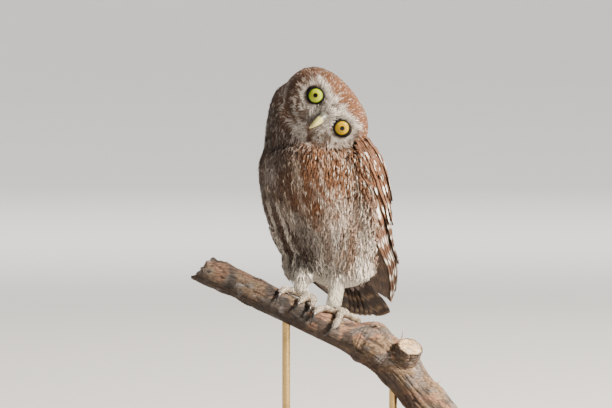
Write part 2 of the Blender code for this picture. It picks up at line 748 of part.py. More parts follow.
def plate(rows, depths):
    """A thin closed plate through rows of points, each row with its own depth below."""
    shape = bmesh.new()
    tops = [[shape.verts.new(point) for point in row] for row in rows]
    lows = [[shape.verts.new(point - depth) for point in row] for row, depth in zip(rows, depths)]
    last_row, last_column = len(rows) - 1, len(rows[0]) - 1
    for n in range(last_row):
        for j in range(last_column):
            a, b, c, d = tops[n][j], tops[n][j + 1], tops[n + 1][j + 1], tops[n + 1][j]
            shape.faces.new((a, b, c))
            shape.faces.new((a, c, d))
            a, b, c, d = lows[n][j], lows[n][j + 1], lows[n + 1][j + 1], lows[n + 1][j]
            shape.faces.new((a, c, b))
            shape.faces.new((a, d, c))
        for j in (0, last_column):
            shape.faces.new((tops[n][j], tops[n + 1][j], lows[n + 1][j], lows[n][j]))
    for n in (0, last_row):
        for j in range(last_column):
            shape.faces.new((tops[n][j], tops[n][j + 1], lows[n][j + 1], lows[n][j]))
    return shape


def wing_shell(side):
    """The wing's thick part over the arm and the lesser coverts, sunk into the torso's side."""
    columns, rows = WING_SHELL_GRID
    outer, inner = [], []
    for n in range(rows + 1):
        share = n / rows
        z = WING_SHELL_LOW + (WING_SHELL_HIGH - WING_SHELL_LOW) * share
        top_row, low_row = [], []
        for k in range(columns + 1):
            across = k / columns
            azimuth = WING_SHELL_FRONT + (WING_SHELL_BACK - WING_SHELL_FRONT) * across
            edge = ramp(across, 0, 0.28) * (1 - 0.7 * ramp(across, 0.85, 1.0))
            rise = ramp(share, 0, 0.42) * (1 - ramp(share, 0.7, 1.0))
            lift = -1.5 * MM + (WING_SHELL_SWELL + 1.5 * MM) * edge * rise
            top_row.append(hull_point(side, azimuth, z, lift))
            low_row.append(hull_point(side, azimuth, z, -WING_SHELL_SINK))
        outer.append(top_row)
        inner.append(low_row)
    shape = bmesh.new()
    tops = [[shape.verts.new(c) for c in row] for row in outer]
    lows = [[shape.verts.new(c) for c in row] for row in inner]
    for n in range(rows):
        for k in range(columns):
            shape.faces.new((tops[n][k], tops[n][k + 1], tops[n + 1][k + 1], tops[n + 1][k]))
            shape.faces.new((lows[n][k], lows[n + 1][k], lows[n + 1][k + 1], lows[n][k + 1]))
    for k in range(columns):
        for n in (0, rows):
            shape.faces.new((tops[n][k], tops[n][k + 1], lows[n][k + 1], lows[n][k]))
    for n in range(rows):
        for k in (0, columns):
            shape.faces.new((tops[n][k], tops[n + 1][k], lows[n + 1][k], lows[n][k]))
    return shape


def between(first, last, share):
    return tuple(a + (b - a) * share for a, b in zip(first, last))


def wing(label, side, collection, neighbours):
    """A folded wing: its thick part, and its feathers in tiers from primaries out to scapulars."""
    obj = as_object("wing_" + label, wing_shell(side), "brown_feathers", collection)
    vanes = []
    for tier, count, root_a, root_b, tip_a, tip_b, half_width, lift, tilt, roundness in TIERS:
        for n in range(count):
            share = n / (count - 1)
            stagger = 1.5 * (n % 2)
            root = between(root_a, root_b, share)
            tip = between(tip_a, tip_b, share)
            feather = vane(
                side,
                (root[0], root[1] * MM),
                (tip[0], (tip[1] + stagger) * MM),
                half_width * MM,
                lift * MM,
                tilt * MM,
                roundness,
                tier in SPINED,
            )
            vanes.append(as_object("vane", feather, "brown_feathers", collection))
    fuse(obj, vanes)
    clear_of(obj, neighbours)
    return obj


def tail_point(along, q, out):
    """A point of the tail: along its slope, to the bird's left and off its upper side."""
    p = -sin(TAIL_SLOPE) * along - cos(TAIL_SLOPE) * out
    z = -cos(TAIL_SLOPE) * along + sin(TAIL_SLOPE) * out
    return bird(TAIL_ROOT.x + p, q, TAIL_ROOT.z + z)


def tail(collection, neighbours):
    """Six pairs of tail feathers, the middle pair on top, fanned from a flattened root."""
    slope = Matrix.Rotation(TAIL_SLOPE, 4, LEFT) @ turned(LEFT, FORWARD, UP)
    thick = ball(tail_point(*TAIL_CORE_PLACE), TAIL_CORE, 16, 10, slope)
    obj = as_object("tail", thick, "brown_feathers", collection)
    feathers = []
    for pair in range(TAIL_PAIRS):
        for side in (1, -1):
            layer = pair + (1 if pair or side < 0 else 0)
            length = TAIL_LENGTH - TAIL_ROUND * (pair / (TAIL_PAIRS - 1)) ** 1.6
            feathers.append(tail_feather(side, pair, length, -layer * TAIL_LAYER))
    fuse(obj, [as_object("feather", f, "brown_feathers", collection) for f in feathers])
    clear_of(obj, neighbours)
    return obj


def tail_feather(side, pair, length, out):
    """One tail feather, as a thin closed plate with a rounded tip, slightly bent away from the body."""
    root_q = side * (0.7 * MM + pair * TAIL_ROOT_SPREAD)
    tip_q = side * (2.0 * MM + pair * TAIL_SPREAD)
    rows = []
    depths = []
    for n in range(TAIL_STEPS + 1):
        share = (n / TAIL_STEPS) ** 0.8
        along = TAIL_START + (length - TAIL_START) * share
        q = root_q + (tip_q - root_q) * share**1.1
        closing = max(0.0, (share - 0.8) / 0.2)
        width = TAIL_HALF_VANE * (0.55 + 0.45 * ramp(share, 0, 0.5))
        width *= sqrt(max(0.0, 1 - closing**2.2)) * 0.7 + 0.3
        bend = 3.0 * MM * share**2 - 4.0 * MM * share * (1 - share)
        rows.append([tail_point(along, q + step, out + bend) for step in (-width, width)])
        rows[-1].insert(1, tail_point(along, q, out + bend + 0.2 * MM))
        depths.append((tail_point(0, 0, VANE_THICK) - tail_point(0, 0, 0)))
    return plate(rows, depths)


def leg(label, stations, collection, neighbours):
    """A feathered leg from the belly down to the ankle."""
    points = [Vector((x, y, z)) * MM for x, y, z, _ in stations]
    radii = [radius * MM for _, _, _, radius in stations]
    points, radii = refined(points, radii, 3)
    shape = tube(points, radii, LEG_SIDES, Vector((0, 1, 0)), rounded=0.7)
    obj = as_object("leg_" + label, shape, "leg_feathers", collection)
    clear_of(obj, neighbours)
    return obj


def refined(points, radii, steps):
    """More stations on a smooth curve through these."""
    rows = [[float(i), *point, radius] for i, (point, radius) in enumerate(zip(points, radii))]
    found = [read(rows, i / steps) for i in range((len(points) - 1) * steps + 1)]
    return [Vector(f[:3]) for f in found], [f[3] for f in found]


def foot(label, facts, collection):
    """The foot's pad and its four toes on the bark, then a claw off the end of each toe."""
    x, angle = facts["pad"]
    centre, _, along, over, front = branch_at(x * MM)
    place = on_branch(x * MM, angle, (PAD_SIZE[2] + 0.35) * MM)
    shape = ball(place, PAD_SIZE, 12, 8, turned(along, front, over))
    pad = as_object("foot_" + label, shape, "toe_skin", collection)
    toes, claws = [], []
    for name, stops, claw_end in facts["toes"]:
        count = len(stops)
        radii = [TOE_BASE + (TOE_END - TOE_BASE) * i / (count - 1) for i in range(count)]
        middle = [[float(i), s[0] * MM, s[1], radii[i]] for i, s in enumerate(stops)]
        found = [read(middle, i / 2) for i in range((count - 1) * 2 + 1)]
        points = [on_branch(f[0], f[1], f[2] + 0.4 * MM) for f in found]
        shape = tube(points, [f[2] for f in found], TOE_SIDES, over, rounded=0.6)
        toes.append(as_object("toe", shape, "toe_skin", collection))
        claws.append((name, stops[-1], claw_end))
    fuse(pad, toes)
    for name, start, end in claws:
        as_claw(f"claw_{label}_{name}", start, end, collection, pad)
    return pad


def as_claw(name, start, end, collection, pad):
    """A curved, tapered claw from inside the toe's end down to the bark."""
    points, radii = [], []
    for n in range(6):
        share = n / 5
        angle = start[1] + (end[1] - start[1]) * share
        x = start[0] + (end[0] - start[0]) * share
        radius = CLAW_ROOT * (1 - 0.82 * share)
        arch = 1.5 * MM * sin(pi * share)
        height = (TOE_END + 0.4 * MM) * (1 - share) + (radius + 0.4 * MM) * share + arch
        points.append(on_branch(x * MM, angle, height))
        radii.append(radius)
    shape = tube(points, radii, CLAW_SIDES, Vector((1, 0, 0)), rounded=0.9)
    claw = as_object(name, shape, "claw_horn", collection)
    subtract(claw, grown(pad, GAP))


def shade_smooth(collection):
    """Shades every piece smooth, with its edges kept sharp."""
    for obj in collection.objects:
        obj.data.shade_smooth()
        obj.data.set_sharp_from_angle(angle=SHARP_ANGLE)


def clear_scene():
    for obj in list(bpy.data.objects):
        bpy.data.objects.remove(obj)


def main():
    clear_scene()
    owl = bpy.data.collections.new("little_owl")
    bpy.context.scene.collection.children.link(owl)
    wood = perch(owl)
    stand(owl, wood)
    core = body_core(owl)
    core.name = "core"
    head_obj = as_object("head", head_shape(), "head_feathers", owl)
    neck = halved(core, "neck", *NECK_CUT, owl, True)
    torso = halved(core, "torso", *NECK_CUT, owl, False)
    subtract(neck, grown(head_obj, GAP))
    subtract(torso, grown(head_obj, GAP))
    tail(owl, (core,))
    for label, side in (("left", 1), ("right", -1)):
        wing(label, side, owl, (core, head_obj))
        pad = foot(label, FEET[label], owl)
        leg(label, FEET[label]["leg"], owl, (core, pad))
    face_parts(owl, head_obj)
    bpy.data.objects.remove(core)
    shade_smooth(owl)


main()
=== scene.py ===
"""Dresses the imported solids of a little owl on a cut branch: skin, plumage, wings, tail, face, feet,
bark, display stand and studio. Metres, +Z up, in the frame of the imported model.

Three sets of coordinates are used, as in the part. World is the frame. The bird's frame has p
forwards, q to the bird's left and z up. The head's frame has e to the bird's left, u to the crown and
f out of the face. Markings are worked out in millimetres of these frames.
"""

import functools
import math

import bmesh
import bpy
import numpy as np
from mathutils import Matrix, Vector
from mathutils.bvhtree import BVHTree
from mathutils.kdtree import KDTree


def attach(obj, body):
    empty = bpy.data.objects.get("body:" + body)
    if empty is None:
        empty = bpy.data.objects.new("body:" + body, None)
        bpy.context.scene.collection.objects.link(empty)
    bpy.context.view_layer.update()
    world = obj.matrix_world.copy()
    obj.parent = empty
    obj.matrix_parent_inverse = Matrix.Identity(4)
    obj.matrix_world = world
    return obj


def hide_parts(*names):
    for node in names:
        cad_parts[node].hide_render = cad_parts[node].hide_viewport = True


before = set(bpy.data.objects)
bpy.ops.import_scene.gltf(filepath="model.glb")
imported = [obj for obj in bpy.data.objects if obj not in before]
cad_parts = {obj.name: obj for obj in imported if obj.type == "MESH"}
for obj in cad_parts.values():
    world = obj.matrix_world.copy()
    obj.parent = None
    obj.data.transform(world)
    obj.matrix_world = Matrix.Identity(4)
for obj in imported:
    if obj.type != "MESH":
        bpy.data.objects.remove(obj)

bl_info = {
    "name": "Little owl on a cut branch",
    "version": (1, 0, 0),
    "blender": (4, 5, 0),
    "location": "View3D > Sidebar > Owl",
    "description": "Builds the plumage, face, feet, bark, stand and studio over the packed solids",
    "category": "Object",
}

MM = 0.001
UP = Vector((0, 0, 1))
BODY = "root"
FLESH = ("torso", "neck", "head", "leg_left", "leg_right")
GROWN_OVER_GAP = 0.35 * MM

# The bird's frame and the head's frame in the world, as in the part
BODY_YAW = math.radians(28)
BODY_PLACE = Vector((-10, 10, 0)) * MM
FORWARD = Vector((-math.sin(BODY_YAW), -math.cos(BODY_YAW), 0))
LEFT = Vector((math.cos(BODY_YAW), -math.sin(BODY_YAW), 0))
HEAD_PLACE = Vector((-7.5, -10, 316.9)) * MM
HEAD_ROLL, HEAD_YAW = math.radians(51), math.radians(2.5)
HEAD_U = Vector((math.sin(HEAD_ROLL), 0, math.cos(HEAD_ROLL)))
HEAD_F = Matrix.Rotation(HEAD_YAW, 3, HEAD_U) @ Vector((0, -1, 0))
HEAD_E = HEAD_U.cross(HEAD_F)
BODY_PLACE, FORWARD, LEFT, UP = (np.array(v) for v in (BODY_PLACE, FORWARD, LEFT, UP))
HEAD_PLACE, HEAD_E, HEAD_U, HEAD_F = (np.array(v) for v in (HEAD_PLACE, HEAD_E, HEAD_U, HEAD_F))

# Eyes and bill in the head's frame
EYE_SIDE, EYE_HIGH, EYE_DEEP = 17.0, 1.8, 17.8
EYE_RADIUS, EYE_SPLAY = 8.4, math.radians(8)
PUPIL, IRIS = 2.1, 6.0
LID_RADIUS, LID_OUT = 6.75, 5.0
DISC_SIDE, DISC_HIGH = 15.0, -2.0
BILL_ROOT = (0.0, -4.0, 24.0)
# Along each mandible: u, f, half width, half thickness
UPPER_BILL = (
    (-1.5, 18.0, 3.6, 3.4),
    (-2.6, 24.5, 4.5, 4.3),
    (-4.8, 29.0, 4.8, 4.5),
    (-7.8, 31.6, 4.0, 3.9),
    (-11.2, 33.2, 3.3, 3.2),
    (-14.6, 33.6, 2.5, 2.5),
    (-17.4, 32.6, 1.6, 1.7),
    (-19.2, 31.0, 0.7, 0.8),
)
LOWER_BILL = (
    (-9.8, 18.0, 3.2, 2.0),
    (-11.4, 25.5, 3.2, 1.9),
    (-14.0, 28.6, 2.4, 1.4),
    (-15.8, 29.6, 1.0, 0.7),
)
NOSTRIL = (4.3, -5.4, 30.6)

# Branch stations: x, y, z of the centre line, then the radius
BRANCH = (
    (-114, 5, 181.5, 12.2),
    (-94, 4, 173, 12.5),
    (-77, 3, 165, 12.5),
    (-56, 2, 154.6, 12.3),
    (-38, 1, 145.9, 12.0),
    (-20, 0, 137.2, 12.0),
    (-2, 0, 129.0, 12.4),
    (13, 0, 122.5, 13.6),
    (27, -1, 116.4, 17.2),
    (42, -2, 106.6, 16.8),
    (56, -4, 93.6, 17.0),
    (69, -6, 78.6, 17.4),
    (84, -8, 61.6, 17.2),
    (99, -10, 44.4, 17.0),
)
KNOT_X, KNOT_SWELL, KNOT_SPREAD = 31, 5.0, 11
COLLAR_X, COLLAR_SWELL, COLLAR_SPREAD = 52, 4.0, 10
STUB_X, STUB_RADIUS, STUB_LENGTH = 56, 11, 29
STUB_LEAN = (0.30, -0.58, 0.76)

# Wing hull stations: z, p of the section's middle, half width and half depth behind
WING_HULL = (
    (136, -90.0, 18.0, 12.0),
    (152, -75.8, 26.0, 15.0),
    (163, -63.5, 34.0, 20.0),
    (175, -49.8, 41.0, 26.0),
    (187, -35.5, 46.5, 32.0),
    (200, -21.0, 49.0, 37.0),
    (220, -13.8, 49.5, 40.0),
    (240, -6.6, 49.5, 42.0),
    (258, 0.0, 49.5, 42.0),
    (275, 6.2, 48.0, 41.0),
    (292, 11.6, 42.0, 36.0),
    (303, 13.0, 35.5, 30.0),
)

# Tail
TAIL_ROOT, TAIL_SLOPE = (-33, 0, 201), math.radians(41)
TAIL_LENGTH, TAIL_ROUND, TAIL_PAIRS = 88, 9, 6

# Feet: for each foot its pad's place on the bark, and toes as stops of x and angle, then the claw's end
PAD_SIZE = (7.4, 6.4, 4.2)
TOE_BASE, TOE_END, CLAW_ROOT, OFF_BARK = 3.2, 2.7, 1.75, 0.4
FEET = {
    "left": (
        (-1.5, 93),
        (
            ("inner", ((-4, 88), (-11, 78), (-17, 58), (-20.2, 34)), (-19.6, -16)),
            ("middle", ((-2, 85), (-1.6, 62), (-1.6, 38), (-2.4, 16)), (-7.0, -34)),
            ("outer", ((1, 93), (7, 97), (12.5, 112), (14.5, 134)), (12.0, 186)),
            ("hind", ((-3, 102), (-7, 120), (-8, 142), (-8, 158)), (-8.5, 212)),
        ),
    ),
    "right": (
        (-29.5, 93),
        (
            ("inner", ((-28, 88), (-25.8, 70), (-24.8, 54)), (-25.6, 6)),
            ("middle", ((-31, 86), (-32.6, 68), (-34.0, 46)), (-35.6, -4)),
            ("outer", ((-33, 88), (-41, 84), (-48.2, 70), (-50.6, 44)), (-51.0, -10)),
            ("hind", ((-30, 102), (-33, 120), (-34, 142), (-34, 158)), (-34.5, 212)),
        ),
    ),
}


# Sums on arrays


def soft(value, low, high):
    """0 below low, 1 above high and smooth between, on arrays too."""
    t = np.clip((np.asarray(value, float) - low) / (high - low), 0, 1)
    return t * t * (3 - 2 * t)


def bell(distance, width):
    """A bell of height 1 at no distance."""
    return np.exp(-((np.asarray(distance, float) / width) ** 2))


def read(table, key):
    """The table's other columns at these keys, on smooth curves through its rows."""
    rows = np.array(table, float)
    keys = rows[:, 0]
    key = np.clip(np.atleast_1d(np.asarray(key, float)), keys[0], keys[-1])
    at = np.clip(np.searchsorted(keys, key, side="left") - 1, 0, len(keys) - 2)
    slopes = np.empty_like(rows)
    slopes[1:-1] = (rows[2:] - rows[:-2]) / (keys[2:] - keys[:-2])[:, None]
    slopes[0] = (rows[1] - rows[0]) / (keys[1] - keys[0])
    slopes[-1] = (rows[-1] - rows[-2]) / (keys[-1] - keys[-2])
    span = (keys[at + 1] - keys[at])[:, None]
    t = (key[:, None] - keys[at][:, None]) / span
    value = (2 * t**3 - 3 * t**2 + 1) * rows[at] + (3 * t**2 - 2 * t**3) * rows[at + 1]
    value += span * ((t**3 - 2 * t**2 + t) * slopes[at] + (t**3 - t**2) * slopes[at + 1])
    return value[:, 1:]


def unit(vectors):
    """The same directions at length 1."""
    return vectors / np.maximum(np.linalg.norm(vectors, axis=-1, keepdims=True), 1e-12)


def hashed(cells, seed):
    """A number from 0 to 1 for each whole-number cell, always the same for the same seed."""
    x, y, z = (cells[..., i].astype(np.int64) for i in range(3))
    bits = (x * 73856093) ^ (y * 19349663) ^ (z * 83492791) ^ (seed * 2654435761)
    bits = (bits ^ (bits >> 13)) * 1274126177
    return ((bits ^ (bits >> 16)) & 0xFFFFFF) / float(0xFFFFFF)


def cloud(points, scale, seed):
    """Smooth noise from 0 to 1 at these points. Scale is the size of its blots, one or one an axis."""
    p = points / np.asarray(scale, float)
    cell = np.floor(p)
    t = p - cell
    t = t * t * (3 - 2 * t)
    total = 0
    for corner in range(8):
        step = np.array([corner & 1, (corner >> 1) & 1, (corner >> 2) & 1])
        share = np.prod(np.where(step, t, 1 - t), axis=-1)
        total = total + share * hashed(cell + step, seed)
    return total


def mixed(a, b, share):
    """Colour b over colour a by this share, which may be an array."""
    share = np.asarray(share, float)[..., None]
    return np.asarray(a, float) * (1 - share) + np.asarray(b, float) * share


def blended(a, b, share):
    """Number b over number a by this share."""
    return a * (1 - share) + b * share


def square_to(vectors, axis):
    """Unit vectors: these ones less what runs along the axis."""
    return unit(vectors - axis * (vectors * axis).sum(-1, keepdims=True))


def full_turn(sides):
    """Angles evenly round a circle."""
    return np.arange(sides) * 2 * np.pi / sides


def frame_point(place, axes, values):
    """Points of a frame, given in millimetres along its axes, in the world."""
    values = np.broadcast_arrays(*(np.asarray(v, float) for v in values))
    return place + sum(v[..., None] * axis for v, axis in zip(values, axes)) * MM


def bird_point(p, q, z):
    """Points of the bird's frame, given in millimetres, in the world."""
    return frame_point(BODY_PLACE, (FORWARD, LEFT, UP), (p, q, z))


def head_point(e, u, f):
    """Points of the head's frame, given in millimetres, in the world."""
    return frame_point(HEAD_PLACE, (HEAD_E, HEAD_U, HEAD_F), (e, u, f))


def in_bird(points):
    """World points as p, q, z in millimetres."""
    off = (points - BODY_PLACE) / MM
    return off @ FORWARD, off @ LEFT, off[..., 2]


def in_head(points):
    """World points as e, u, f in millimetres."""
    off = (points - HEAD_PLACE) / MM
    return off @ HEAD_E, off @ HEAD_U, off @ HEAD_F


# Meshes


def made(name, points, faces, material, colour, nodes=(), fields=None, bake=None, turn_out=False):
    """A piece of the model from arrays: its colour at each point, and its other fields and bake map.

    It rides on the model's body and stands for these nodes. The bake map has a place for each point, or
    for each corner. Faces may be in several arrays, and turn_out makes them all face outwards.
    """
    mesh = bpy.data.meshes.new(name)
    faces = [np.asarray(part) for part in (faces if isinstance(faces, list) else [faces])]
    corners = np.concatenate([part.ravel() for part in faces])
    sizes = np.concatenate([np.full(len(part), part.shape[1]) for part in faces])
    mesh.vertices.add(len(points))
    mesh.vertices.foreach_set("co", np.asarray(points, np.float32).ravel())
    mesh.loops.add(len(corners))
    mesh.loops.foreach_set("vertex_index", corners.astype(np.int32))
    mesh.polygons.add(len(sizes))
    mesh.polygons.foreach_set("loop_start", (np.cumsum(sizes) - sizes).astype(np.int32))
    mesh.polygons.foreach_set("loop_total", sizes.astype(np.int32))
    mesh.update(calc_edges=True)
    mesh.validate()
    mesh.polygons.foreach_set("use_smooth", np.ones(len(mesh.polygons), bool))
    layer = mesh.color_attributes.new("tint", "FLOAT_COLOR", "POINT")
    full = np.concatenate([np.clip(colour, 0, 1), np.ones((len(colour), 1))], axis=1)
    layer.data.foreach_set("color", full.astype(np.float32).ravel())
    for key, value in (fields or {}).items():
        layer = mesh.attributes.new(key, "FLOAT", "POINT")
        layer.data.foreach_set("value", np.asarray(value, np.float32))
    if bake is not None:
        bake = np.asarray(bake, np.float32)
        layer = mesh.uv_layers.new(name="OFBake")
        layer.data.foreach_set("uv", (bake if len(bake) == len(corners) else bake[corners]).ravel())
    mesh.materials.append(finish(material))
    obj = linked(bpy.data.objects.new(name, mesh))
    if turn_out:
        facing_out(obj)
    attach(obj, BODY)
    if nodes:
        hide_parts(*nodes)


def linked(obj):
    """Puts an object in the scene."""
    bpy.context.scene.collection.objects.link(obj)
    return obj


def grid_faces(rows, columns, wrap=False):
    """Quads over a grid of points kept row by row, round in a ring where it wraps."""
    across = columns if wrap else columns - 1
    r, c = np.meshgrid(np.arange(rows - 1), np.arange(across), indexing="ij")
    after = (c + 1) % columns
    low, high = r * columns, (r + 1) * columns
    return np.stack([low + c, low + after, high + after, high + c], -1).reshape(-1, 4)


def plate_faces(rows, columns):
    """Quads of a thin closed plate: its upper grid of points, its lower one and the edges between."""
    size = rows * columns
    upper = grid_faces(rows, columns)
    faces = [upper, upper[:, ::-1] + size]
    for column in (0, columns - 1):
        r = np.arange(rows - 1) * columns + column
        faces.append(np.stack([r, r + columns, r + columns + size, r + size], -1))
    for row in (0, rows - 1):
        c = np.arange(columns - 1) + row * columns
        faces.append(np.stack([c, c + 1, c + 1 + size, c + size], -1))
    return np.concatenate(faces)


def tube_rings(centres, across, over, wide, thick, sides):
    """Rings of points along a line. Across and over are unit vectors, wide and thick half sizes."""
    turn = full_turn(sides)
    ring = centres[:, None] + across[:, None] * (wide[:, None] * np.cos(turn))[..., None]
    return ring + over[:, None] * (thick[:, None] * np.sin(turn))[..., None]


def closed_tube(rings):
    """Points and faces of a tube through rings, with a point to close each end."""
    count, sides = rings.shape[:2]
    points = np.concatenate([rings.reshape(-1, 3), rings[:1].mean(1), rings[-1:].mean(1)])
    around = np.arange(sides)
    after = (around + 1) % sides
    low, high = count * sides, count * sides + 1
    last = (count - 1) * sides
    ends = [
        np.stack([after, around, np.full(sides, low)], -1),
        np.stack([last + around, last + after, np.full(sides, high)], -1),
    ]
    return points, [grid_faces(count, sides, True), np.concatenate(ends)]


def facing_out(obj):
    """Turns every face of a closed piece to the outside."""
    shape = bmesh.new()
    shape.from_mesh(obj.data)
    bmesh.ops.recalc_face_normals(shape, faces=shape.faces)
    shape.to_mesh(obj.data)
    shape.free()


def remeshed(shape, voxel, factor, turns):
    """The shape joined in one closed surface with no seams, and relaxed."""
    mesh = bpy.data.meshes.new("joined")
    shape.to_mesh(mesh)
    shape.free()
    obj = linked(bpy.data.objects.new("joined", mesh))
    remesh = obj.modifiers.new("remesh", "REMESH")
    remesh.mode = "VOXEL"
    remesh.voxel_size = voxel
    relax = obj.modifiers.new("relax", "SMOOTH")
    relax.factor = factor
    relax.iterations = turns
    graph = bpy.context.evaluated_depsgraph_get()
    found = bpy.data.meshes.new_from_object(obj.evaluated_get(graph))
    bpy.data.objects.remove(obj)
    return found


def mesh_arrays(mesh):
    """A mesh's points, normals and triangles."""
    count = len(mesh.vertices)
    points, normals = np.empty(count * 3), np.empty(count * 3)
    mesh.vertices.foreach_get("co", points)
    mesh.vertices.foreach_get("normal", normals)
    mesh.calc_loop_triangles()
    triangles = np.empty(len(mesh.loop_triangles) * 3, np.int32)
    mesh.loop_triangles.foreach_get("vertices", triangles)
    return points.reshape(-1, 3), normals.reshape(-1, 3), triangles.reshape(-1, 3)


# Materials


class Nodes:
    """A node tree with short ways to add and join its nodes, each of which gives the new output."""

    def __init__(self, tree):
        self.tree = tree

    def put(self, socket, value):
        """Sets an input, or joins an output to it."""
        if isinstance(value, bpy.types.NodeSocket):
            self.tree.links.new(value, socket)
        else:
            socket.default_value = value

    def add(self, kind, values, output=0, **facts):
        """A node of this kind with its facts, and its inputs by name or number."""
        node = self.tree.nodes.new("ShaderNode" + kind)
        for key, value in facts.items():
            setattr(node, key, value)
        for key, value in values.items():
            self.put(node.inputs[key], value)
        return node.outputs[output]

    def place(self):
        """The place on the object."""
        return self.add("TexCoord", {}, "Object")

    def math(self, operation, a, b=0.0):
        """One sum on two numbers."""
        return self.add("Math", {0: a, 1: b}, operation=operation)

    def blend(self, a, b, share, kind="MIX"):
        """Colour b over colour a by a share."""
        return self.add("Mix", {"Factor": share, 6: a, 7: b}, 2, data_type="RGBA", blend_type=kind)

    def spread(self, value, low, high, first=0.0, last=1.0):
        """A number taken smoothly from one range to another."""
        ends = {"From Min": low, "From Max": high, "To Min": first, "To Max": last}
        return self.add("MapRange", {"Value": value, **ends}, interpolation_type="SMOOTHSTEP")

    def field(self, name, output="Fac"):
        """A value that the mesh carries at its points."""
        return self.add("Attribute", {}, output, attribute_type="GEOMETRY", attribute_name=name)

    def noise(self, place, scale, detail=3.0, roughness=0.55, distortion=0.0):
        """Smooth noise over the surface."""
        look = {"Detail": detail, "Roughness": roughness, "Distortion": distortion}
        return self.add("TexNoise", {"Vector": place, "Scale": scale, **look})

    def stretched(self, place, factors):
        """A place scaled along each axis, for noise that runs in one direction."""
        return self.add("Mapping", {"Vector": place, "Scale": factors})


def group_of(name, inputs, outputs, build):
    """A shader node group, made once. Build takes its nodes and inputs, and gives its outputs."""
    found = bpy.data.node_groups.get(name)
    if found:
        return found
    tree = bpy.data.node_groups.new(name, "ShaderNodeTree")
    for label, kind, value in inputs:
        socket = tree.interface.new_socket(label, in_out="INPUT", socket_type=kind)
        socket.default_value = value
    for label, kind in outputs:
        tree.interface.new_socket(label, in_out="OUTPUT", socket_type=kind)
    n = Nodes(tree)
    start = tree.nodes.new("NodeGroupInput")
    end = tree.nodes.new("NodeGroupOutput")
    for label, value in build(n, start.outputs).items():
        tree.links.new(value, end.inputs[label])
    return tree


def use_group(n, tree, **values):
    """Places a group in a material with its own values."""
    node = n.tree.nodes.new("ShaderNodeGroup")
    node.node_tree = tree
    for label, value in values.items():
        n.put(node.inputs[label], value)
    return node.outputs


def mottle_group():
    """Small shifts of brightness and warmth over a colour."""

    def build(n, given):
        place = n.place()
        broad = n.noise(place, given["Scale"])
        fine = n.noise(place, n.math("MULTIPLY", given["Scale"], 4.7), 2.0)
        level = n.math("ADD", n.math("MULTIPLY", broad, 0.6), n.math("MULTIPLY", fine, 0.4))
        dark = n.blend(given["Colour"], (0.55, 0.46, 0.40, 1), given["Amount"], "MULTIPLY")
        pale = n.blend(given["Colour"], (1.5, 1.45, 1.36, 1), given["Amount"], "MULTIPLY")
        return {"Colour": n.blend(dark, pale, n.spread(level, 0.34, 0.66)), "Level": level}

    inputs = (
        ("Colour", "NodeSocketColor", (0.5, 0.5, 0.5, 1)),
        ("Scale", "NodeSocketFloat", 400.0),
        ("Amount", "NodeSocketFloat", 0.3),
    )
    outputs = (("Colour", "NodeSocketColor"), ("Level", "NodeSocketFloat"))
    return group_of("mottle", inputs, outputs, build)


def barbs_group():
    """The fine barbs of a vane, which slant from its shaft, as a colour shift and a height."""

    def build(n, given):
        along, across = n.field("vane_along"), n.field("vane_across")
        side = n.math("ABSOLUTE", across)
        slant = n.math("SUBTRACT", along, n.math("MULTIPLY", side, 1.25))
        place = n.place()
        wander = n.math("MULTIPLY", n.noise(place, 900.0, 2.0), given["Wander"])
        turn = n.math("MULTIPLY", n.math("ADD", slant, wander), n.math("DIVIDE", 6.283, given["Pitch"]))
        wave = n.math("ADD", n.math("MULTIPLY", n.math("SINE", turn), 0.5), 0.5)
        shaft = n.spread(side, 0.05, 0.22, 1.0, 0.0)
        dark = n.math("MULTIPLY", wave, given["Depth"])
        lines = n.blend(given["Colour"], (0.62, 0.57, 0.53, 1), dark, "MULTIPLY")
        height = n.math("MAXIMUM", n.math("MULTIPLY", wave, 0.6), shaft)
        return {"Colour": lines, "Height": height}

    inputs = (
        ("Colour", "NodeSocketColor", (0.5, 0.5, 0.5, 1)),
        ("Pitch", "NodeSocketFloat", 0.5),
        ("Wander", "NodeSocketFloat", 0.5),
        ("Depth", "NodeSocketFloat", 0.5),
    )
    outputs = (("Colour", "NodeSocketColor"), ("Height", "NodeSocketFloat"))
    return group_of("barbs", inputs, outputs, build)


def new_material(name, roughness=0.5, metallic=0.0, **constants):
    """An empty material with its shader, whose constant inputs are set on the shader's own sockets."""
    material = bpy.data.materials.new(name)
    material.use_nodes = True
    n = Nodes(material.node_tree)
    shader = material.node_tree.nodes["Principled BSDF"]
    shader.inputs["Roughness"].default_value = roughness
    shader.inputs["Metallic"].default_value = metallic
    for key, value in constants.items():
        shader.inputs[key.replace("_", " ")].default_value = value
    return material, n, shader


def surface(n, shader, colour, height, distance):
    """Feeds the shader's colour, and its normal from a height whose depth is this distance in metres."""
    n.put(shader.inputs["Base Color"], colour)
    n.put(shader.inputs["Normal"], n.add("Bump", {"Height": height, "Distance": distance}))


def plumage_material(name, pitch, depth, roughness, relief, amount):
    """Feathers: the colour at each point, with barbs and small shifts of tone."""
    sheen = {"Sheen_Weight": 0.05, "Sheen_Roughness": 0.5, "Specular_IOR_Level": 0.25}
    material, n, shader = new_material(name, roughness, **sheen)
    tint = n.field("tint", "Color")
    shift = use_group(n, mottle_group(), Colour=tint, Scale=420.0, Amount=amount)["Colour"]
    lines = use_group(n, barbs_group(), Colour=shift, Pitch=pitch, Wander=pitch * 1.2, Depth=depth)
    surface(n, shader, lines["Colour"], lines["Height"], relief)
    return material


def skin_material(name):
    """The skin under the plumage, in the plumage's own markings, with a downy grain."""
    material, n, shader = new_material(name, 0.9)
    tint = n.field("tint", "Color")
    down = use_group(n, mottle_group(), Colour=tint, Scale=700.0, Amount=0.45)
    surface(n, shader, down["Colour"], down["Level"], 0.0006)
    return material


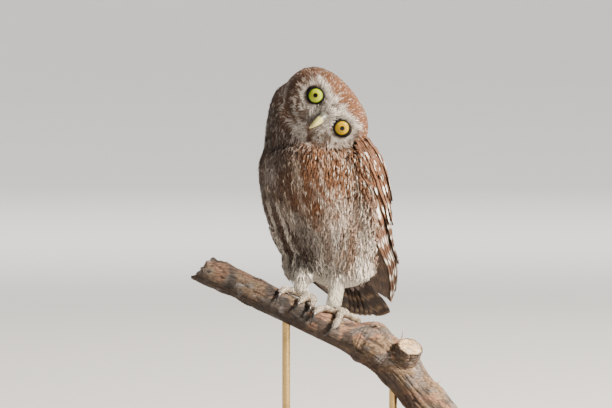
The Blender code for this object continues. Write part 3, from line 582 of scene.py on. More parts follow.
def tinted_material(name, roughness, scale, amount, relief, cells, gloss, level):
    """Horn, toe skin and the like: the colour at each point, mottled, with a fine or scaly relief."""
    coat = {"Coat_Weight": gloss, "Coat_Roughness": 0.2, "Specular_IOR_Level": level}
    material, n, shader = new_material(name, roughness, **coat)
    tint = n.field("tint", "Color")
    shift = use_group(n, mottle_group(), Colour=tint, Scale=scale, Amount=amount)
    colour, height = shift["Colour"], shift["Level"]
    if cells:
        scales = {"Vector": n.place(), "Scale": cells}
        edge = n.spread(n.add("TexVoronoi", scales, "Distance", feature="DISTANCE_TO_EDGE"), 0.0, 0.16)
        colour = n.blend(n.blend(colour, (0.62, 0.55, 0.49, 1), 1.0, "MULTIPLY"), colour, edge)
        height = n.math("ADD", n.math("MULTIPLY", edge, 0.8), n.math("MULTIPLY", height, 0.3))
    surface(n, shader, colour, height, relief)
    return material


def eye_material(name):
    """The eyeball: the colour at each point under a wet, clear coat, with rays in its iris."""
    wet = {"Coat_Weight": 0.38, "Coat_Roughness": 0.02, "Specular_IOR_Level": 0.03}
    material, n, shader = new_material(name, 0.3, **wet)
    tint = n.field("tint", "Color")
    rays = n.math("ABSOLUTE", n.math("SINE", n.math("MULTIPLY", n.field("ray_turn"), 31.0)))
    place = n.place()
    flecks = n.noise(place, 1500.0, 3.0)
    share = n.math("MULTIPLY", n.math("MULTIPLY", rays, flecks), n.field("iris_share"))
    n.put(shader.inputs["Base Color"], n.blend(tint, (0.55, 0.42, 0.16, 1), share, "MULTIPLY"))
    return material


def bark_material(name):
    """Dry bark: the colour at each point, with fine cracks, lichen grey and a rough relief."""
    material, n, shader = new_material(name, 0.86)
    tint = n.field("tint", "Color")
    place = n.place()
    grained = use_group(n, mottle_group(), Colour=tint, Scale=260.0, Amount=0.5)
    fibres = n.noise(n.stretched(place, (60.0, 520.0, 420.0)), 1.3, 5.0, 0.6, 0.15)
    cracks = n.spread(n.math("ABSOLUTE", n.math("SUBTRACT", fibres, 0.5)), 0.0, 0.05)
    grey = n.spread(n.noise(place, 75.0, 4.0), 0.56, 0.72)
    colour = n.blend(grained["Colour"], (0.30, 0.27, 0.27, 1), n.math("MULTIPLY", grey, 0.45))
    colour = n.blend(n.blend(colour, (0.45, 0.36, 0.31, 1), 0.42, "MULTIPLY"), colour, cracks)
    height = n.math("ADD", n.math("MULTIPLY", cracks, 0.55), n.math("MULTIPLY", grained["Level"], 0.6))
    surface(n, shader, colour, height, 0.0009)
    return material


def walnut_material(colour, dark):
    """Oiled walnut, its grain along the base."""
    material, n, shader = new_material("walnut", 0.42, Coat_Weight=0.15, Coat_Roughness=0.25)
    place = n.place()
    rings = n.noise(n.stretched(place, (3.0, 26.0, 26.0)), 1.3, 5.0, 0.6, 1.6)
    bands = n.math("FRACT", n.math("MULTIPLY", rings, 9.0))
    bands = n.math("ABSOLUTE", n.math("SUBTRACT", n.math("MULTIPLY", bands, 2.0), 1.0))
    pores = n.spread(n.noise(n.stretched(place, (40.0, 900.0, 900.0)), 1.0, 2.0), 0.52, 0.64)
    wood = n.blend(colour, dark, n.math("MULTIPLY", bands, 0.75))
    wood = n.blend(wood, (0.02, 0.011, 0.006, 1), n.math("MULTIPLY", pores, 0.55))
    n.put(shader.inputs["Roughness"], n.spread(pores, 0.0, 1.0, 0.36, 0.6))
    surface(n, shader, wood, n.math("SUBTRACT", 1.0, pores), 0.00012)
    return material


def brass_material(colour):
    """Brushed brass, its marks round the rod, with a little tarnish."""
    material, n, shader = new_material("brushed_brass", 0.3, 1.0)
    place = n.place()
    brushed = n.noise(n.stretched(place, (30.0, 30.0, 2600.0)), 1.0, 3.0)
    tarnish = n.spread(n.noise(place, 60.0, 4.0), 0.45, 0.75)
    worn = n.blend(colour, (0.30, 0.19, 0.08, 1), n.math("MULTIPLY", tarnish, 0.5))
    n.put(shader.inputs["Roughness"], n.spread(brushed, 0.3, 0.7, 0.24, 0.42))
    surface(n, shader, worn, brushed, 0.00003)
    return material


def floor_material(colour):
    """The studio's matt floor and wall."""
    material, n, shader = new_material("studio_paper", 0.95)
    place = n.place()
    tone = n.spread(n.noise(place, 3.0, 4.0), 0.3, 0.7, 0.0, 0.05)
    n.put(shader.inputs["Base Color"], n.blend(colour, (0.6, 0.6, 0.6, 1), tone))
    return material


# Each finish's maker and what it takes. For feathers: pitch and depth of the barbs, roughness, relief in
# metres and mottling. For horn and skin: roughness, scale, mottling, relief, scales, gloss and shine.
FINISHES = {
    "under_down": (skin_material,),
    "soft_feathers": (plumage_material, 0.55, 0.42, 0.78, 0.00012, 0.28),
    "fine_feathers": (plumage_material, 0.34, 0.40, 0.78, 0.00008, 0.22),
    "downy_feathers": (plumage_material, 0.45, 0.30, 0.78, 0.0001, 0.18),
    "leg_down": (plumage_material, 0.40, 0.10, 0.78, 0.00008, 0.08),
    "wing_vanes": (plumage_material, 0.75, 0.50, 0.62, 0.00012, 0.30),
    "tail_vanes": (plumage_material, 0.75, 0.50, 0.62, 0.00012, 0.30),
    "eye_gloss": (eye_material,),
    "lid_skin": (tinted_material, 0.50, 2600.0, 0.30, 0.00006, 0.0, 0.0, 0.1),
    "bill_gloss": (tinted_material, 0.34, 900.0, 0.22, 0.00006, 0.0, 0.3, 0.5),
    "claw_gloss": (tinted_material, 0.26, 1400.0, 0.25, 0.00004, 0.0, 0.5, 0.5),
    "toe_scales": (tinted_material, 0.75, 900.0, 0.4, 0.00022, 1900.0, 0.0, 0.5),
    "dry_bark": (bark_material,),
}


def finish(name):
    """The finish of this name, made once."""
    build, *facts = FINISHES[name]
    return bpy.data.materials.get(name) or build(name, *facts)


# Markings. Colours are linear.

WHITE, CREAM, BUFF = (0.92, 0.87, 0.80), (0.98, 0.92, 0.80), (0.64, 0.42, 0.24)
RUFOUS, CROWN, BROWN = (0.28, 0.120, 0.052), (0.25, 0.104, 0.046), (0.130, 0.057, 0.027)
DARK, GREY, ASH = (0.030, 0.016, 0.010), (0.105, 0.078, 0.066), (0.42, 0.375, 0.35)


def azimuth_of(p, q, z):
    """Degrees round the body, 0 ahead and 90 to the bird's left."""
    middle = read(((160, -34), (200, -21), (258, 0), (295, 10)), z)[:, 0]
    return np.degrees(np.arctan2(q, p - middle))


def head_share(points, edge=0.0):
    """1 on the head, 0 on the neck and body."""
    e, u, f = in_head(points)
    tall = np.where(u > 0, 27.5, 30.5)
    deep = np.where(f > 0, 27.5, 33)
    reach = (np.abs(e / 41.5) ** 2.3 + np.abs(u / tall) ** 2.3 + np.abs(f / deep) ** 2.3) ** (1 / 2.3)
    return 1 - soft(reach, 1.05 + edge, 1.14 + edge)


def marks(points, seed):
    """The plumage's pattern at feather roots: base, shaft streak and tip colours, and their strengths."""
    count = len(points)
    draw = np.random.default_rng(seed)
    chance, other = draw.random(count), draw.random(count)
    p, q, z = in_bird(points)
    around = azimuth_of(p, q, z)
    place = points / MM
    blot = cloud(place, 9, 3)
    lane = cloud(np.stack([around / 5.4 + 4 * cloud(place, 34, 8), z / 34, q * 0], -1), 1, 5)

    # Body: rufous breast, darker brown on the shaded side partly as painted shade, white belly with long
    # dark streaks, brown back
    # side is 1 on the bird's left, its lit side, and 0 on its right, its shaded side. What follows from it
    # is partly the left breast's own rufous and partly painted light and shade: the lit side is made paler,
    # warmer and less streaked, and the shaded side greyer and darker.
    side = soft(around, -20, 30)
    # middle is the belly's front, where the streaks and rust are made darker: partly its own streaking and
    # partly painted shade where the light falls away across the middle.
    middle = bell(around, 27)
    breast = mixed(mixed(GREY, BROWN, 0.3 + 0.6 * blot), RUFOUS, side * (0.55 + 0.45 * blot))
    breast = mixed(breast, DARK, 0.45 * soft(blot, 0.5, 0.7) * (1 - side))
    # The belly is greyer on the bird's shaded right: partly painted shade.
    belly = mixed(mixed(ASH, WHITE, 0.55), WHITE, soft(around, -30, 20))
    low = 1 - soft(z + 34 * (blot - 0.5) + 10 * side + 16 * middle, 232, 266)
    base = mixed(breast, belly, low)
    dark_lane = soft(lane, 0.47 + 0.05 * side, 0.53 + 0.05 * side)
    dark_lane = np.maximum(dark_lane, middle * soft(blot, 0.36, 0.50) * soft(z, 190, 208))
    rust = mixed(mixed(DARK, BROWN, 0.55 - 0.30 * middle), RUFOUS, 0.7 * soft(around, 8, 44))
    above_legs = soft(z, 178, 200)
    base = mixed(base, rust, low * dark_lane * (0.93 - 0.30 * side) * above_legs)
    pale_lane = 1 - soft(lane, 0.30, 0.42)
    base = mixed(base, mixed(BUFF, WHITE, 0.5 + 0.4 * side), (1 - low) * pale_lane * (0.25 + 0.10 * side))
    streak = mixed(mixed(DARK, BROWN, 0.3), mixed(BROWN, RUFOUS, 0.4), 0.8 * side)
    # Fewer dark streaks on the lit side: painted light that brightens it.
    strength = (1 - low) * (0.30 + 0.5 * (other < 0.35)) * (1 - 0.6 * side)
    strength = strength + low * 0.45 * (chance < 0.22) * above_legs
    width = 0.38 + 0.35 * low * (other < 0.4)
    base = mixed(base, mixed(BROWN, CROWN, 0.6 * blot), soft(around, 60, 72) * (z > 214) * 0.85)
    # A painted pool of light: pale buff over the upper breast on the lit side.
    painted_light_patch = bell(around - 46, 13) * soft(z, 226, 240) * soft(cloud(place, 7, 43), 0.36, 0.58)
    base = mixed(base, mixed(BUFF, WHITE, 0.45), 0.45 * painted_light_patch)
    # Pale flecks, more of them on the lit side: partly the breast's own spots and partly painted light.
    flecks = (1 - low) * (chance < 0.05 + 0.16 * side * soft(around, 28, 52))
    tip = mixed(BUFF, WHITE, 0.45 + 0.5 * side)
    tip_share = np.where(low > 0.5, 0.35 * (1 - dark_lane), flecks * 0.9)
    back = soft(np.abs(around), 88, 104)
    base = mixed(base, mixed(BROWN, CROWN, blot * 0.5), back)
    strength, width = blended(strength, 0.35, back), blended(width, 0.2, back)
    tip = mixed(tip, mixed(BUFF, WHITE, 0.5), back)
    tip_share = blended(tip_share, chance < 0.18, back)
    warm = low * side * soft(around, 0, 40) * soft(cloud(place, 12, 41), 0.30, 0.62)
    base = mixed(base, (0.36, 0.22, 0.145), 0.62 * warm * soft(z, 172, 188))
    thigh = (1 - soft(z, 180, 200)) * (1 - back)
    base = mixed(base, mixed(WHITE, CREAM, 0.35), thigh * (0.60 - 0.12 * soft(around, 15, 45)))

    # Throat and the shaded side of the neck, partly painted shade: greyer and darker on the bird's right,
    # rufous on its lit left
    throat = soft(z, 278, 292) * (1 - back)
    neck = mixed(mixed(GREY, DARK, 0.6 * soft(blot, 0.3, 0.7)), BROWN, 0.35 * soft(lane, 0.45, 0.6))
    base = mixed(base, mixed(neck, RUFOUS, 0.75 * side), throat)
    chest = bell(around + 34, 20) * bell(z - 272, 13) * soft(blot, 0.40, 0.60)
    base = mixed(base, ASH, 0.8 * chest)
    strength = np.maximum(strength, throat * (chance < 0.5) * 0.8)
    tip = mixed(tip, ASH, throat * (1 - side))
    tip_share = np.maximum(tip_share, throat * (other < 0.26) * 0.7)

    # Head
    e, u, f = in_head(points)
    on_head = head_share(points)
    wide = np.abs(e)
    from_eye = np.hypot(wide - EYE_SIDE, u - EYE_HIGH)
    from_disc = np.hypot(wide - DISC_SIDE, u - DISC_HIGH)
    facing = soft(f, 0, 9)
    # The crown is browner on the bird's right and greyer low on that side: partly painted shade on the
    # head's shaded side.
    crown = mixed(CROWN, BROWN, 0.40 * blot + 0.5 * soft(-e, 14, 28))
    crown = mixed(crown, mixed(GREY, BROWN, 0.5), 0.65 * soft(-u, 2, 16) * soft(6 - e, 0, 14))
    head_base, head_tip = crown, mixed(crown, WHITE, 0.70)
    disc = facing * (1 - soft(from_disc, 17.5, 20.5)) * (1 - soft(u, 7, 9.5))
    speckle = soft(cloud(place, 2.1, 12), 0.43, 0.52)
    ringed = 0.5 + 0.5 * np.sin(from_eye * 1.55 + 3 * cloud(place, 5, 4))
    beyond = soft(wide - EYE_SIDE, -2, 7)
    pale_face = mixed(mixed(ASH, WHITE, 0.40), BUFF, 0.2 * beyond)
    brown_face = mixed(mixed(DARK, BROWN, 0.75), GREY, 0.25)
    share = np.clip((0.74 + 0.20 * beyond) * speckle + 0.24 * ringed, 0, 0.95)
    face = mixed(pale_face, brown_face, share)
    head_base = mixed(head_base, face, disc)
    clean = facing * bell(from_eye - 10.6, 1.5) * (0.35 + 0.4 * soft(cloud(place, 3.5, 17), 0.35, 0.6))
    head_base = mixed(head_base, WHITE, clean)
    rim = facing * bell(from_disc - 20.0, 2.4) * (1 - soft(u, 2, 8)) * soft(wide, 8, 14)
    head_base = mixed(head_base, mixed(DARK, BROWN, 0.5), 0.85 * rim)
    broken = soft(cloud(place, 5.5, 15), 0.36, 0.56)
    ruff = facing * bell(from_disc - 25.0, 2.6) * (1 - soft(u, -16, -4)) * broken
    head_base = mixed(head_base, mixed(ASH, WHITE, 0.45), 0.7 * ruff)
    brow_line = EYE_HIGH + 8.9 + 0.16 * (wide - EYE_SIDE) + 1.6 * soft(8 - wide, 0, 6)
    brow = bell(u - brow_line, 1.9) * (1 - soft(wide, 24, 30)) * soft(wide, 1.0, 3.5)
    inner = bell(wide - 5.0 - 0.12 * (u + 2), 1.7) * soft(u, -5, -1) * (1 - soft(u, 9, 13))
    lores = bell(np.hypot(wide - 6.6, u + 8), 3.4)
    pale = facing * np.clip(1.15 * np.maximum(np.maximum(brow, inner), 0.6 * lores), 0, 1)
    head_base = mixed(head_base, WHITE, pale)
    chin = facing * (1 - soft(wide, 7, 13)) * (1 - soft(u, -21, -15))
    chin_tone = mixed(mixed(GREY, BROWN, 0.4), mixed(ASH, WHITE, 0.4), soft(cloud(place, 4, 19), 0.3, 0.55))
    head_base = mixed(head_base, chin_tone, 0.85 * chin)
    socket = facing * (1 - soft(from_eye, 8.1, 9.6)) * (0.65 + 0.35 * soft(wide - EYE_SIDE, -1, 5))
    corner = facing * bell(np.hypot(wide - 7.0, u - 2.4), 1.7)
    head_base = mixed(head_base, DARK, np.clip(0.9 * socket + 0.75 * corner, 0, 0.92))
    plain = np.clip(disc + pale + ruff + chin + rim + clean, 0, 1)
    head_tip_share = (chance < 0.20) * (1 - plain)
    head_streak = mixed(head_base, DARK, 0.45)
    head_strength = 0.45 * (1 - plain) + plain * 0.18 * (other < 0.4)

    base = mixed(base, head_base, on_head)
    tip = mixed(tip, head_tip, on_head)
    tip_share = blended(tip_share, head_tip_share, on_head)
    streak = mixed(streak, head_streak, on_head)
    strength, width = blended(strength, head_strength, on_head), blended(width, 0.35, on_head)

    # Legs
    # Legs in cream close to white, with a high even tone: their own pale down, made paler as painted light.
    leg = (1 - soft(z, 172, 182)) * (1 - back)
    base = mixed(base, CREAM, leg * 0.97)
    strength, tip_share = strength * (1 - leg), tip_share * (1 - leg)
    spare = 0.30 * low * (1 - on_head) * (1 - back)
    tone = 0.72 + 0.5 * spare + (0.46 - spare) * draw.random(count)
    tone = blended(tone, 0.94 + 0.08 * draw.random(count), leg)[:, None]
    shares = dict(strength=strength, width=width, tip_share=tip_share)
    return dict(base=base * tone, streak=streak, tip=tip, **shares)


def feather_colour(found, along, across):
    """Colours over the points of feathers, from the pattern at their roots."""
    root = {key: value[:, None] for key, value in found.items()}
    on_shaft = 1 - soft(np.abs(across), root["width"] * 0.7, root["width"] * 1.3)
    on_streak = root["strength"] * on_shaft * (1 - soft(along, 0.86, 0.97))
    on_tip = root["tip_share"] * soft(along, 0.60, 0.82)
    return mixed(mixed(root["base"], root["tip"], on_tip), root["streak"], on_streak)


# Skin and the lie of the plumage


def even_out(values, edges, count, turns):
    """Averages values with their neighbours over a mesh's edges, a few times."""
    a, b = edges[:, 0], edges[:, 1]
    links = np.bincount(a, minlength=count) + np.bincount(b, minlength=count)
    flat = values.reshape(count, -1).astype(float)
    for _ in range(turns):
        total = np.empty_like(flat)
        for i in range(flat.shape[1]):
            column = flat[:, i]
            total[:, i] = np.bincount(a, column[b], count) + np.bincount(b, column[a], count)
        flat = 0.5 * flat + 0.5 * total / np.maximum(links, 1)[:, None]
    return flat.reshape(values.shape)


def lie(points, normals):
    """The direction in which the plumage lies: out from the eyes and bill, then down to the tail."""
    e, u, f = in_head(points)
    wide = np.abs(e)
    sign = np.sign(e + 1e-6)
    out_e, out_u = (wide - EYE_SIDE) * sign, u - EYE_HIGH
    from_eye = np.hypot(out_e, out_u)
    eye_pull = bell(from_eye, 15) * soft(f, -4, 8)
    root = np.array(BILL_ROOT)
    from_bill = np.stack([e - root[0], u - root[1], f - root[2]], -1)
    reach = np.linalg.norm(from_bill, axis=1)
    way = unit(from_bill) * (0.15 + 0.85 * soft(reach, 6, 15))[:, None]
    way[:, 0] += out_e / np.maximum(from_eye, 1) * eye_pull * 1.3
    way[:, 1] += out_u / np.maximum(from_eye, 1) * eye_pull * 1.3
    way[:, 1] -= 1.6 * bell(np.hypot(e, u + 9), 6.5) * soft(f, 8, 16)
    head_way = way @ np.array([HEAD_E, HEAD_U, HEAD_F])
    p, _, z = in_bird(points)
    down = np.tile(-UP, (len(points), 1))
    rear = (soft(-p, 5, 35) * (1 - soft(z, 200, 250)))[:, None]
    down = down - FORWARD * 0.7 * rear
    behind = soft(-f, 2, 24)[:, None]
    head_way = head_way * (1 - 0.75 * behind) + down * behind
    return square_to(mixed(down, head_way, head_share(points, 0.02)), normals)


class Hull:
    """The outline of the flesh and its plumage: the skin lies under it, and feathers follow it."""

    def __init__(self, voxel):
        mesh = self.joined(voxel)
        self.points, self.normals, self.triangles = mesh_arrays(mesh)
        count = len(self.points)
        edges = np.empty(len(mesh.edges) * 2, np.int32)
        mesh.edges.foreach_get("vertices", edges)
        edges = edges.reshape(-1, 2)
        self.normals = unit(even_out(self.normals, edges, count, 3))
        way = even_out(lie(self.points, self.normals), edges, count, 10)
        self.way = square_to(way, self.normals)
        self.depth = even_out(plume_depth(self.points), edges, count, 6)
        self.tree = BVHTree.FromPolygons(self.points.tolist(), self.triangles.tolist())

    def joined(self, voxel):
        """The flesh nodes, grown over the gaps between them and joined in one surface."""
        shape = bmesh.new()
        for name in FLESH:
            copy = bmesh.new()
            copy.from_mesh(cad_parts[name].data)
            bmesh.ops.remove_doubles(copy, verts=copy.verts, dist=0.02 * MM)
            copy.normal_update()
            for vert in copy.verts:
                vert.co += vert.normal * GROWN_OVER_GAP
            grown = bpy.data.meshes.new("grown")
            copy.to_mesh(grown)
            copy.free()
            shape.from_mesh(grown)
            bpy.data.meshes.remove(grown)
        return remeshed(shape, voxel, 0.5, 6)

    def scatter(self, spacing, seed, where):
        """Feather roots a spacing apart where the weight says, with their way and their skin's depth."""
        draw = np.random.default_rng(seed)
        corners = self.points[self.triangles]
        cross = np.cross(corners[:, 1] - corners[:, 0], corners[:, 2] - corners[:, 0])
        area = np.linalg.norm(cross, axis=1) / 2
        middle = corners.mean(1)
        weight = area * where(middle) * 3.0 / (spacing * MM) ** 2
        count = int(weight.sum())
        pick = draw.choice(len(area), count, p=weight / weight.sum())
        r, s = draw.random(count), draw.random(count)
        flip = r + s > 1
        r, s = np.where(flip, 1 - r, r), np.where(flip, 1 - s, s)
        share = np.stack([1 - r - s, r, s], -1)
        found = (corners[pick] * share[..., None]).sum(1)
        tree = KDTree(count)
        for i, point in enumerate(found.tolist()):
            tree.insert(point, i)
        tree.balance()
        kept = np.ones(count, bool)
        for i, point in enumerate(found.tolist()):
            if kept[i]:
                for _, other, _ in tree.find_range(point, spacing * MM):
                    if other > i:
                        kept[other] = False
        share, at = share[kept], self.triangles[pick[kept]]
        way = unit((self.way[at] * share[..., None]).sum(1))
        return found[kept], way, (self.depth[at] * share).sum(1)

    def trace(self, roots, way, lengths, steps):
        """Points and normals along paths on the hull that start this way and follow the lie."""
        paths, normals, ways = [roots], [], []
        here, ahead = roots, way
        for n in range(steps + 1):
            target = here + ahead * (lengths / steps)[:, None] if n else here
            hits = [self.tree.find_nearest(point) for point in target.tolist()]
            here = np.array([hit[0] for hit in hits])
            face = self.triangles[np.array([hit[2] for hit in hits])]
            normal = unit(self.normals[face].mean(1))
            ahead = square_to(unit(ahead + 0.5 * unit(self.way[face].mean(1))), normal)
            if n:
                paths.append(here)
            normals.append(normal)
            ways.append(ahead)
        return np.stack(paths, 1), np.stack(normals, 1), np.stack(ways, 1)


def plume_depth(points):
    """How far the skin lies under the hull, in millimetres."""
    e, u, f = in_head(points)
    wide = np.abs(e)
    from_eye = np.hypot(wide - EYE_SIDE, u - EYE_HIGH)
    z = points[:, 2] / MM
    depth = 2.8 - 0.6 * soft(z, 262, 290)
    on_head = head_share(points, 0.03)
    face = soft(f, 2, 12)
    near_eye = 1 - soft(from_eye, 8, 13)
    head_depth = 1.4 - 0.4 * face - 0.75 * near_eye * face
    depth = blended(depth, head_depth, on_head)
    return blended(depth, 0.8, soft(184 - z, 0, 10))


# Plumage

@functools.cache
def hull():
    """The plumage's outline, made once."""
    return Hull(1.3 * MM)


def vane_rows(columns, rows):
    """Faces of one feather: a root point, rows of points over the vane, and a flat underside."""
    triangles, quads = [], []
    for c in range(columns):
        triangles.append((0, 1 + (c + 1) % columns, 1 + c))
    for r in range(rows - 1):
        low, high = 1 + r * columns, 1 + (r + 1) * columns
        for c in range(columns):
            after = (c + 1) % columns
            quads.append((low + c, low + after, high + after, high + c))
    last = 1 + (rows - 1) * columns
    for c in range(1, columns - 1):
        triangles.append((last, last + c, last + c + 1))
    return np.array(triangles), np.array(quads)


def body_map(points):
    """The place of a root on an unwrap of the body: round it and up it."""
    p, q, z = in_bird(points)
    around = azimuth_of(p, q, z)
    return np.stack([0.02 + 0.96 * (around + 180) / 360, 0.02 + 0.96 * np.clip((z - 135) / 215, 0, 1)], -1)


def head_map(points):
    """The place of a root on an unwrap of the head: its face and its back, each on a disc."""
    e, u, f = in_head(points)
    reach = np.linalg.norm(np.stack([e, u, f], -1), axis=1)
    tilt = np.arccos(np.clip(np.abs(f) / reach, 0, 1)) / (np.pi / 2)
    turn = np.arctan2(u, e)
    middle = np.where(f >= 0, 0.25, 0.75)
    return np.stack([middle + 0.235 * tilt * np.cos(turn), 0.5 + 0.47 * tilt * np.sin(turn)], -1)


def feathers(name, seed, scale):
    """One piece of the coat: many small feathers or tufts that lie along the hull."""
    kind = COAT[name]
    base = hull()
    roots, way, depth = base.scatter(kind["spacing"] * scale, seed, lambda at: regions(at)[name])
    count = len(roots)
    draw = np.random.default_rng(seed + 1)

    def size(key):
        value = kind[key]
        return value(roots) if callable(value) else np.full(count, float(value))

    length = size("length") * draw.uniform(0.66, 1.26, count)
    wide = size("wide") * draw.uniform(0.75, 1.2, count)
    lift = size("lift") * draw.uniform(0.4, 1.6, count)
    rows, columns = kind.get("rows", 4), kind.get("columns", 5)
    turn = np.radians(draw.normal(0, kind["stray"], count))
    _, start_normal, start_way = base.trace(roots, way, np.zeros(count), 0)
    beside = np.cross(start_normal[:, 0], start_way[:, 0])
    way = start_way[:, 0] * np.cos(turn)[:, None] + beside * np.sin(turn)[:, None]
    path, normals, ways = base.trace(roots, way, length * MM, rows)
    share = np.linspace(0, 1, rows + 1)
    rise = -depth[:, None] * 0.96 + (depth + lift)[:, None] * soft(share, 0.0, 0.72)
    rise = rise + (lift * kind.get("flare", 0.25))[:, None] * share**2
    rise = rise + draw.uniform(0, kind.get("layers", 0.7), count)[:, None] * (1 - share) * 0.6
    across = np.cross(normals, ways)
    spread = np.linspace(-1, 1, columns)
    profile = (0.0, *kind["profile"])
    half = wide[:, None] * np.interp(share, np.linspace(0, 1, len(profile)), profile)
    corrugated = draw.uniform(-1, 1, (count, 1, columns)) * 0.10
    height = half[:, :, None] * (CAMBER * (1 - spread**2) + corrugated) + 0.05
    ragged = draw.uniform(-1, 1, (count, columns)) * kind["ragged"] - 0.10 * np.abs(spread)
    bend = draw.normal(0, 0.10, count)[:, None] * share**2 * length[:, None]
    points = path[:, :, None] + MM * (
        across[:, :, None] * (half[:, :, None] * spread + bend[:, :, None])[..., None]
        + normals[:, :, None] * (rise[:, :, None] + height)[..., None]
    )
    tip_shift = (ragged * length[:, None] * MM)[..., None] * ways[:, -1][:, None]
    points[:, -1] += tip_shift
    points[:, -2] += 0.35 * tip_shift
    root = path[:, 0] - normals[:, 0] * (depth * 0.96 * MM)[:, None]
    vertices = np.concatenate([root[:, None], points[:, 1:].reshape(count, -1, 3)], 1)
    along = np.concatenate([[0.0], np.repeat(share[1:], columns)])[None].repeat(count, 0)
    sides = np.concatenate([[0.0], np.tile(spread, rows)])[None].repeat(count, 0)
    found = marks(roots, seed + 2)
    # Feathers are darker towards their roots: painted shade where they lie under their neighbours.
    shaded = kind.get("root_shade", 0.62)
    shade = shaded + (1 - shaded) * soft(along, 0.05, 0.55)
    colour = feather_colour(found, along, sides) * shade[..., None]
    triangles, quads = vane_rows(columns, rows)
    offsets = (np.arange(count) * vertices.shape[1])[:, None, None]
    faces = [(triangles + offsets).reshape(-1, 3), (quads + offsets).reshape(-1, 4)]
    on_map = head_map if name in ("face", "crown") else body_map
    bake = on_map(roots)[:, None] + BAKE_PATCH * np.stack([sides, along * 2 - 1], -1)
    vane = {"vane_along": along * length[:, None], "vane_across": sides * wide[:, None]}
    fields = {key: value.ravel() for key, value in vane.items()}
    made(
        "coat_" + name, vertices.reshape(-1, 3), faces,
        kind.get("finish", "soft_feathers"), colour.reshape(-1, 3), fields=fields, bake=bake.reshape(-1, 2),
    )


def build_skin():
    """The skin: the hull drawn in by the plumage's depth, in the plumage's markings, darkened as painted
    shade under the feathers.
    """
    base = hull()
    points = base.points - base.normals * (base.depth * MM)[:, None]
    found = marks(base.points, 5)
    # Darkened to 0.72: painted shade under the feathers.
    colour = mixed(found["base"], found["streak"], found["strength"] * 0.55) * 0.72
    bake = skin_map(base).reshape(-1, 2)
    made("skin", points, base.triangles, "under_down", colour, FLESH, bake=bake)


def skin_map(base):
    """The skin's unwrap: head discs above and the body round and up below, with no face across a seam."""
    corners = base.points[base.triangles]
    middle = corners.mean(1)
    head_face = head_share(middle, 0.05) > 0.5
    flat = corners.reshape(-1, 3)
    p, q, z = in_bird(flat)
    around = azimuth_of(p, q, z).reshape(-1, 3)
    behind = azimuth_of(*in_bird(middle))[:, None] - around
    around += 360 * (behind > 180) - 360 * (behind < -180)
    body = np.stack([0.03 + 0.94 * (around + 185) / 370, 0.02 + 0.42 * (z.reshape(-1, 3) - 130) / 220], -1)
    e, u, f = (values.reshape(-1, 3) for values in in_head(flat))
    sign = np.where(in_head(middle)[2] >= 0, 1.0, -1.0)[:, None]
    tilt = np.arccos(np.clip(f * sign / np.sqrt(e**2 + u**2 + f**2), -1, 1)) / (np.pi / 2)
    turn = np.arctan2(u, e)
    side = np.where(sign > 0, 0.25, 0.75)
    face = np.stack([side + 0.19 * tilt * np.cos(turn), 0.74 + 0.22 * tilt * np.sin(turn)], -1)
    return np.where(head_face[:, None, None], face, body)


def regions(points):
    """Masks of the coat's regions at these points."""
    p, q, z = in_bird(points)
    around = azimuth_of(p, q, z)
    e, u, f = in_head(points)
    on_head = head_share(points) > 0.5
    from_eye = np.hypot(np.abs(e) - EYE_SIDE, u - EYE_HIGH)
    from_disc = np.hypot(np.abs(e) - DISC_SIDE, u - DISC_HIGH)
    bill = (np.abs(e) < 4.3) & (u < -2.5) & (u > -17) & (f > 22)
    face = on_head & (f > 5) & ((from_disc < 21.5) | (np.abs(e) < 9)) & (u < 13) & (from_eye > 7.7) & ~bill
    eye = on_head & (f > 5) & (from_eye < 7.8)
    under_wing = (np.abs(around) > 86) & (np.abs(around) < 165) & (z > 205) & (z < 284) & ~on_head
    leg = ~on_head & (z < 181)
    body = ~on_head & ~leg & ~under_wing
    return {
        "face": face,
        "crown": on_head & ~face & ~eye & ~bill,
        "neck": body & (z >= 268),
        "breast": body & (z < 268) & (z >= 222) & (np.abs(around) <= 96),
        "belly": body & (z < 222) & (np.abs(around) <= 110),
        "back": body & (z < 268) & (np.abs(around) > np.where(z >= 222, 96, 110)),
        "legs": leg,
    }


def face_length(points):
    """Face feathers are shortest by the eyes and the bill, and longest on the brows and ruff."""
    e, u, _ = in_head(points)
    wide = np.abs(e)
    from_eye = np.hypot(wide - EYE_SIDE, u - EYE_HIGH)
    brow = bell(u - (EYE_HIGH + 8.6), 3) * soft(wide, 1, 5)
    return 2.2 + 3.4 * soft(from_eye, 8.5, 17) + 1.6 * brow


def face_wide(points):
    """Face feathers are finest by the eyes."""
    e, u, _ = in_head(points)
    from_eye = np.hypot(np.abs(e) - EYE_SIDE, u - EYE_HIGH)
    return 0.24 + 0.38 * soft(from_eye, 10, 20)


def belly_length(points):
    """Belly feathers are shorter over the legs, and where the breast meets them."""
    z = points[:, 2] / MM
    return 13 - 4.5 * soft(z, 200, 222) - 3.5 * soft(188 - z, 0, 10)


def side_lift(points):
    """Feathers of the sides stand out over the wing's front edge."""
    p, q, z = in_bird(points)
    around = azimuth_of(p, q, z)
    return 0.8 + 3.6 * bell(around - 68, 7) * soft(z, 205, 225) + 0.8 * bell(around + 72, 9)


def leg_length(points):
    """Leg feathers are shortest at the foot."""
    z = points[:, 2] / MM
    return 3.4 + 3.5 * soft(z, 165, 180)
